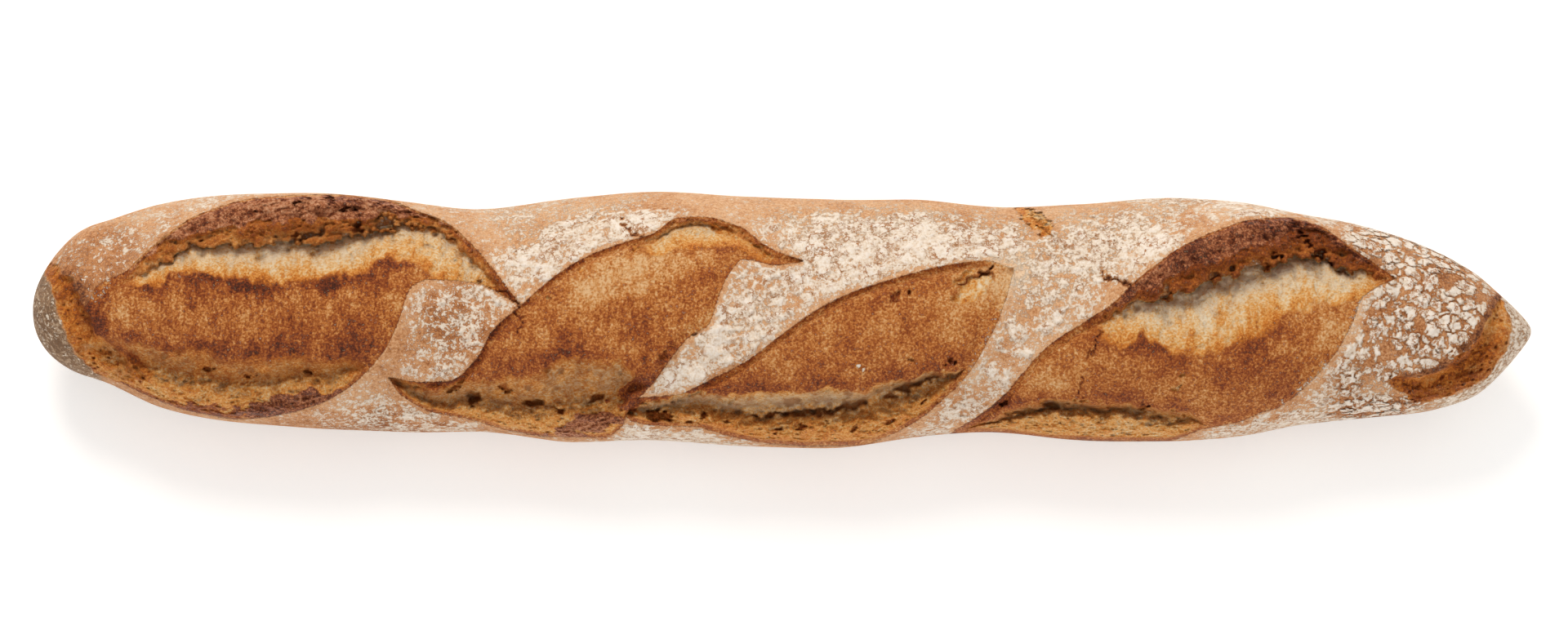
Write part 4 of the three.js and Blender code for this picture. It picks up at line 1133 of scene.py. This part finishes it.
    # Painted highlights: cream glints on the tiny blisters inside the cuts.
    painted_glint = node(tree, "MapRange", {"Value": speck, "From Min": 0.63, "From Max": 0.7, "To Max": 0.4})
    painted_glint = node(tree, "Math", {0: painted_glint, 1: inside}, operation="MULTIPLY")
    base = node(tree, "Mix", {0: painted_glint, 6: base, 7: shade("#efc8a0")}, output=2, data_type="RGBA")

    # Painted shade in holes and under edges: whatever lines them goes darker and browner.
    hollow = node(tree, "Math", {0: grit, 1: 0.9, 2: look["pore"]}, operation="MULTIPLY_ADD")
    hollow = node(tree, "MapRange", {"Value": hollow, "From Min": 0.5, "From Max": 1.35, "To Max": 0.9})
    base = node(
        tree, "Mix", {0: hollow, 6: base, 7: shade("#a87d54")},
        output=2, data_type="RGBA", blend_type="MULTIPLY",
    )  # fmt: skip

    # The greyish brown underneath: partly the oven floor's soot and partly painted shade.
    sooty_and_shaded = node(tree, "Math", {0: mottle, 1: 0.6, 2: look["hearth"]}, operation="MULTIPLY_ADD")
    sooty_and_shaded = node(tree, "Math", {0: grit, 1: 1.5, 2: sooty_and_shaded}, operation="MULTIPLY_ADD")
    sooty_and_shaded = node(tree, "MapRange", {"Value": sooty_and_shaded, "From Min": 1.4, "From Max": 1.95, "To Max": 0.8})
    rubbed = node(tree, "Math", {0: speck, 1: 1.1, 2: -0.55}, operation="MULTIPLY_ADD")
    rubbed = node(tree, "Math", {0: grit, 1: 2.4, 2: rubbed}, operation="MULTIPLY_ADD")
    rubbed = node(tree, "Math", {0: rubbed, 1: -0.6}, operation="ADD")
    soot_and_shade = node(
        tree, "ValToRGB", {"Fac": rubbed},
        [(0.42, "#4d3c2e"), (0.6, "#715a45"), (0.72, "#957d63"), (0.85, "#b8a38a")],
    )  # fmt: skip
    base = node(tree, "Mix", {0: sooty_and_shaded, 6: base, 7: soot_and_shade}, output=2, data_type="RGBA")

    # Flour: grains where it is thin, and an off-white crust where it is thick.
    powdery = node(tree, "Math", {0: powder, 1: 3.2, 2: look["flour"]}, operation="MULTIPLY_ADD")
    powdery = node(tree, "Math", {0: speck, 1: 1.2, 2: powdery}, operation="MULTIPLY_ADD")
    dusted = node(tree, "MapRange", {"Value": powdery, "From Min": 2.64, "From Max": 2.84, "To Max": 0.92})
    whitish = node(tree, "Math", {0: powdery, 1: 0.6, 2: -1.08}, operation="MULTIPLY_ADD")
    flour = node(
        tree, "ValToRGB", {"Fac": whitish},
        [(0.3, "#c9ad92"), (0.6, "#d8c4ae"), (0.9, "#e0d1be"), (1.0, "#e8ddd0")],
    )  # fmt: skip
    base = node(tree, "Mix", {0: dusted, 6: base, 7: flour}, output=2, data_type="RGBA")

    # Ragged drying cracks in the thick flour, about 5 mm apart, which wander every 2 mm.
    wobble = node(
        tree, "TexNoise", {"Vector": mm, "Scale": 1 / 2, "Detail": 5, "Roughness": 0.7}, output="Color"
    )
    warped = node(tree, "VectorMath", {0: wobble, 1: (7, 7, 7), 2: mm}, operation="MULTIPLY_ADD")
    cells = node(
        tree, "TexVoronoi", {"Vector": warped, "Scale": 1 / 5}, output="Distance", feature="DISTANCE_TO_EDGE"
    )
    ragged = node(tree, "Math", {0: grit, 1: 0.35, 2: cells}, operation="MULTIPLY_ADD")
    crack = node(tree, "MapRange", {"Value": ragged, "From Min": 0.245, "From Max": 0.19})
    broken = node(tree, "MapRange", {"Value": mottle, "From Min": 0.41, "From Max": 0.5})
    caked = node(tree, "MapRange", {"Value": look["flour"], "From Min": 0.65, "From Max": 0.9})
    crack = node(tree, "Math", {0: crack, 1: broken}, operation="MULTIPLY")
    crack = node(tree, "Math", {0: crack, 1: caked}, operation="MULTIPLY")
    base = node(tree, "Mix", {0: crack, 6: base, 7: shade("#a8744a")}, output=2, data_type="RGBA")

    # Flour is dull, crust has a soft gloss, and the ears a little more.
    gloss = node(tree, "MapRange", {"Value": look["bake"], "From Min": 0.3, "From Max": 0.8, "To Max": 0.28})
    gloss = node(tree, "Math", {0: look["ear"], 1: 0.16, 2: gloss}, operation="MULTIPLY_ADD")
    gloss = node(tree, "Math", {0: gloss, 1: inside}, operation="MULTIPLY")
    rough = node(tree, "Math", {0: speck, 1: 0.7, 2: 0.45}, operation="MULTIPLY_ADD")
    rough = node(tree, "Math", {0: rough, 1: gloss}, operation="SUBTRACT")

    # Fine relief: grit, blisters and grains of flour, half a millimetre in all.
    relief = node(tree, "Math", {0: grit, 1: 2.4, 2: look["bake"]}, operation="MULTIPLY_ADD")
    relief = node(tree, "Math", {0: speck, 1: 1.6, 2: relief}, operation="MULTIPLY_ADD")
    relief = node(tree, "Math", {0: powder, 1: 1.2, 2: relief}, operation="MULTIPLY_ADD")
    softened = node(tree, "Math", {0: dusted, 1: -0.6, 2: 1.0}, operation="MULTIPLY_ADD")
    relief = node(tree, "Math", {0: relief, 1: softened}, operation="MULTIPLY")
    calmed = node(tree, "MapRange", {"Value": inside, "To Min": 0.6})
    relief = node(tree, "Math", {0: relief, 1: calmed}, operation="MULTIPLY")
    relief = node(tree, "Math", {0: dusted, 1: 1.2, 2: relief}, operation="MULTIPLY_ADD")
    relief = node(tree, "Math", {0: crack, 1: -0.08, 2: relief}, operation="MULTIPLY_ADD")
    bumpy = node(tree, "Bump", {"Height": relief, "Strength": 1.0, "Distance": 0.5 * MM})
    sockets = {
        "Base Color": base, "Roughness": rough, "IOR": 1.45, "Specular IOR Level": 0.28, "Normal": bumpy,
    }  # fmt: skip
    node(tree, "OutputMaterial", {"Surface": node(tree, "BsdfPrincipled", sockets)})
    return material


def make_table_material():
    """Matt white laminate: even and nearly white."""
    material, tree = new_material("matt_white_laminate")
    sockets = {
        "Base Color": shade("#f6f5f3"), "Roughness": 0.9, "Specular IOR Level": 0.1,
        "Emission Color": shade("#ffffff"), "Emission Strength": 0.25,
    }  # fmt: skip
    node(tree, "OutputMaterial", {"Surface": node(tree, "BsdfPrincipled", sockets)})
    return material


# ---- Table, light and camera, in metres ----
TABLE_SIZE = 8
ROOM_LIGHT = 0.63  # strength of the even white light from all round
LIGHTS = [  # name, place, size, power in watts, colour
    ("window", (-0.35, 1.3, 1.5), 1.0, 25, "#fffaf2"),
    ("reflector", (0.3, -1.4, 1.2), 1.4, 9, "#ffffff"),
]
VIEW_WIDTH = 0.480  # width of the view at the loaf's widest level
VIEW_LEVEL = 0.027  # height of that level
VIEW_DISTANCE = 4.0
VIEW_MIDDLE = (0.6, -0.125)  # x and v in mm under the middle of the view
VIEW_END = 20
FILM_WIDTH = 36  # in mm


def make_table():
    bpy.ops.object.select_all(action="DESELECT")
    bpy.ops.mesh.primitive_plane_add(size=TABLE_SIZE)
    table = bpy.context.active_object
    table.name = "table"
    table.data.materials.append(make_table_material())


def aim(thing, target):
    thing.rotation_euler = (Vector(target) - thing.location).to_track_quat("-Z", "Y").to_euler()


def make_light():
    world = bpy.data.worlds.new("studio")
    bpy.context.scene.world = world
    world.use_nodes = True
    background = world.node_tree.nodes["Background"]
    background.inputs["Color"].default_value = shade("#ffffff")
    background.inputs["Strength"].default_value = ROOM_LIGHT
    for name, place, size, power, colour in LIGHTS:
        light = bpy.data.lights.new(name, "AREA")
        light.shape, light.size, light.energy = "DISK", size, power
        light.color = shade(colour)[:3]
        lamp = bpy.data.objects.new(name, light)
        bpy.context.scene.collection.objects.link(lamp)
        lamp.location = place
        aim(lamp, (0, 0, 0))


def make_camera():
    x, v = VIEW_MIDDLE
    y = (v - (VIEW_LEVEL / MM + FLAT_SPOT - KEEL) * sin_tilt) / cos_tilt + shift_y
    target = Vector((x * MM, y * MM, VIEW_LEVEL))
    data = bpy.data.cameras.new("camera")
    data.sensor_width = FILM_WIDTH
    data.lens = FILM_WIDTH * VIEW_DISTANCE / VIEW_WIDTH
    data.clip_end = VIEW_END
    camera = bpy.data.objects.new("camera", data)
    bpy.context.scene.collection.objects.link(camera)
    camera.location = target + VIEW_DISTANCE * Vector(TOWARDS_BAKER)
    aim(camera, target)
    bpy.context.scene.camera = camera


bpy.context.scene.view_settings.view_transform = "Standard"
make_camera()
make_light()
make_table()
crust_material = make_crust_material()
make_base(crust_material)
ends = np.linspace(-TOP_END, TOP_END, TOP_PIECES + 1)
for number, (x_from, x_to) in enumerate(zip(ends[:-1], ends[1:]), 1):
    make_top(number, x_from, x_to, crust_material)
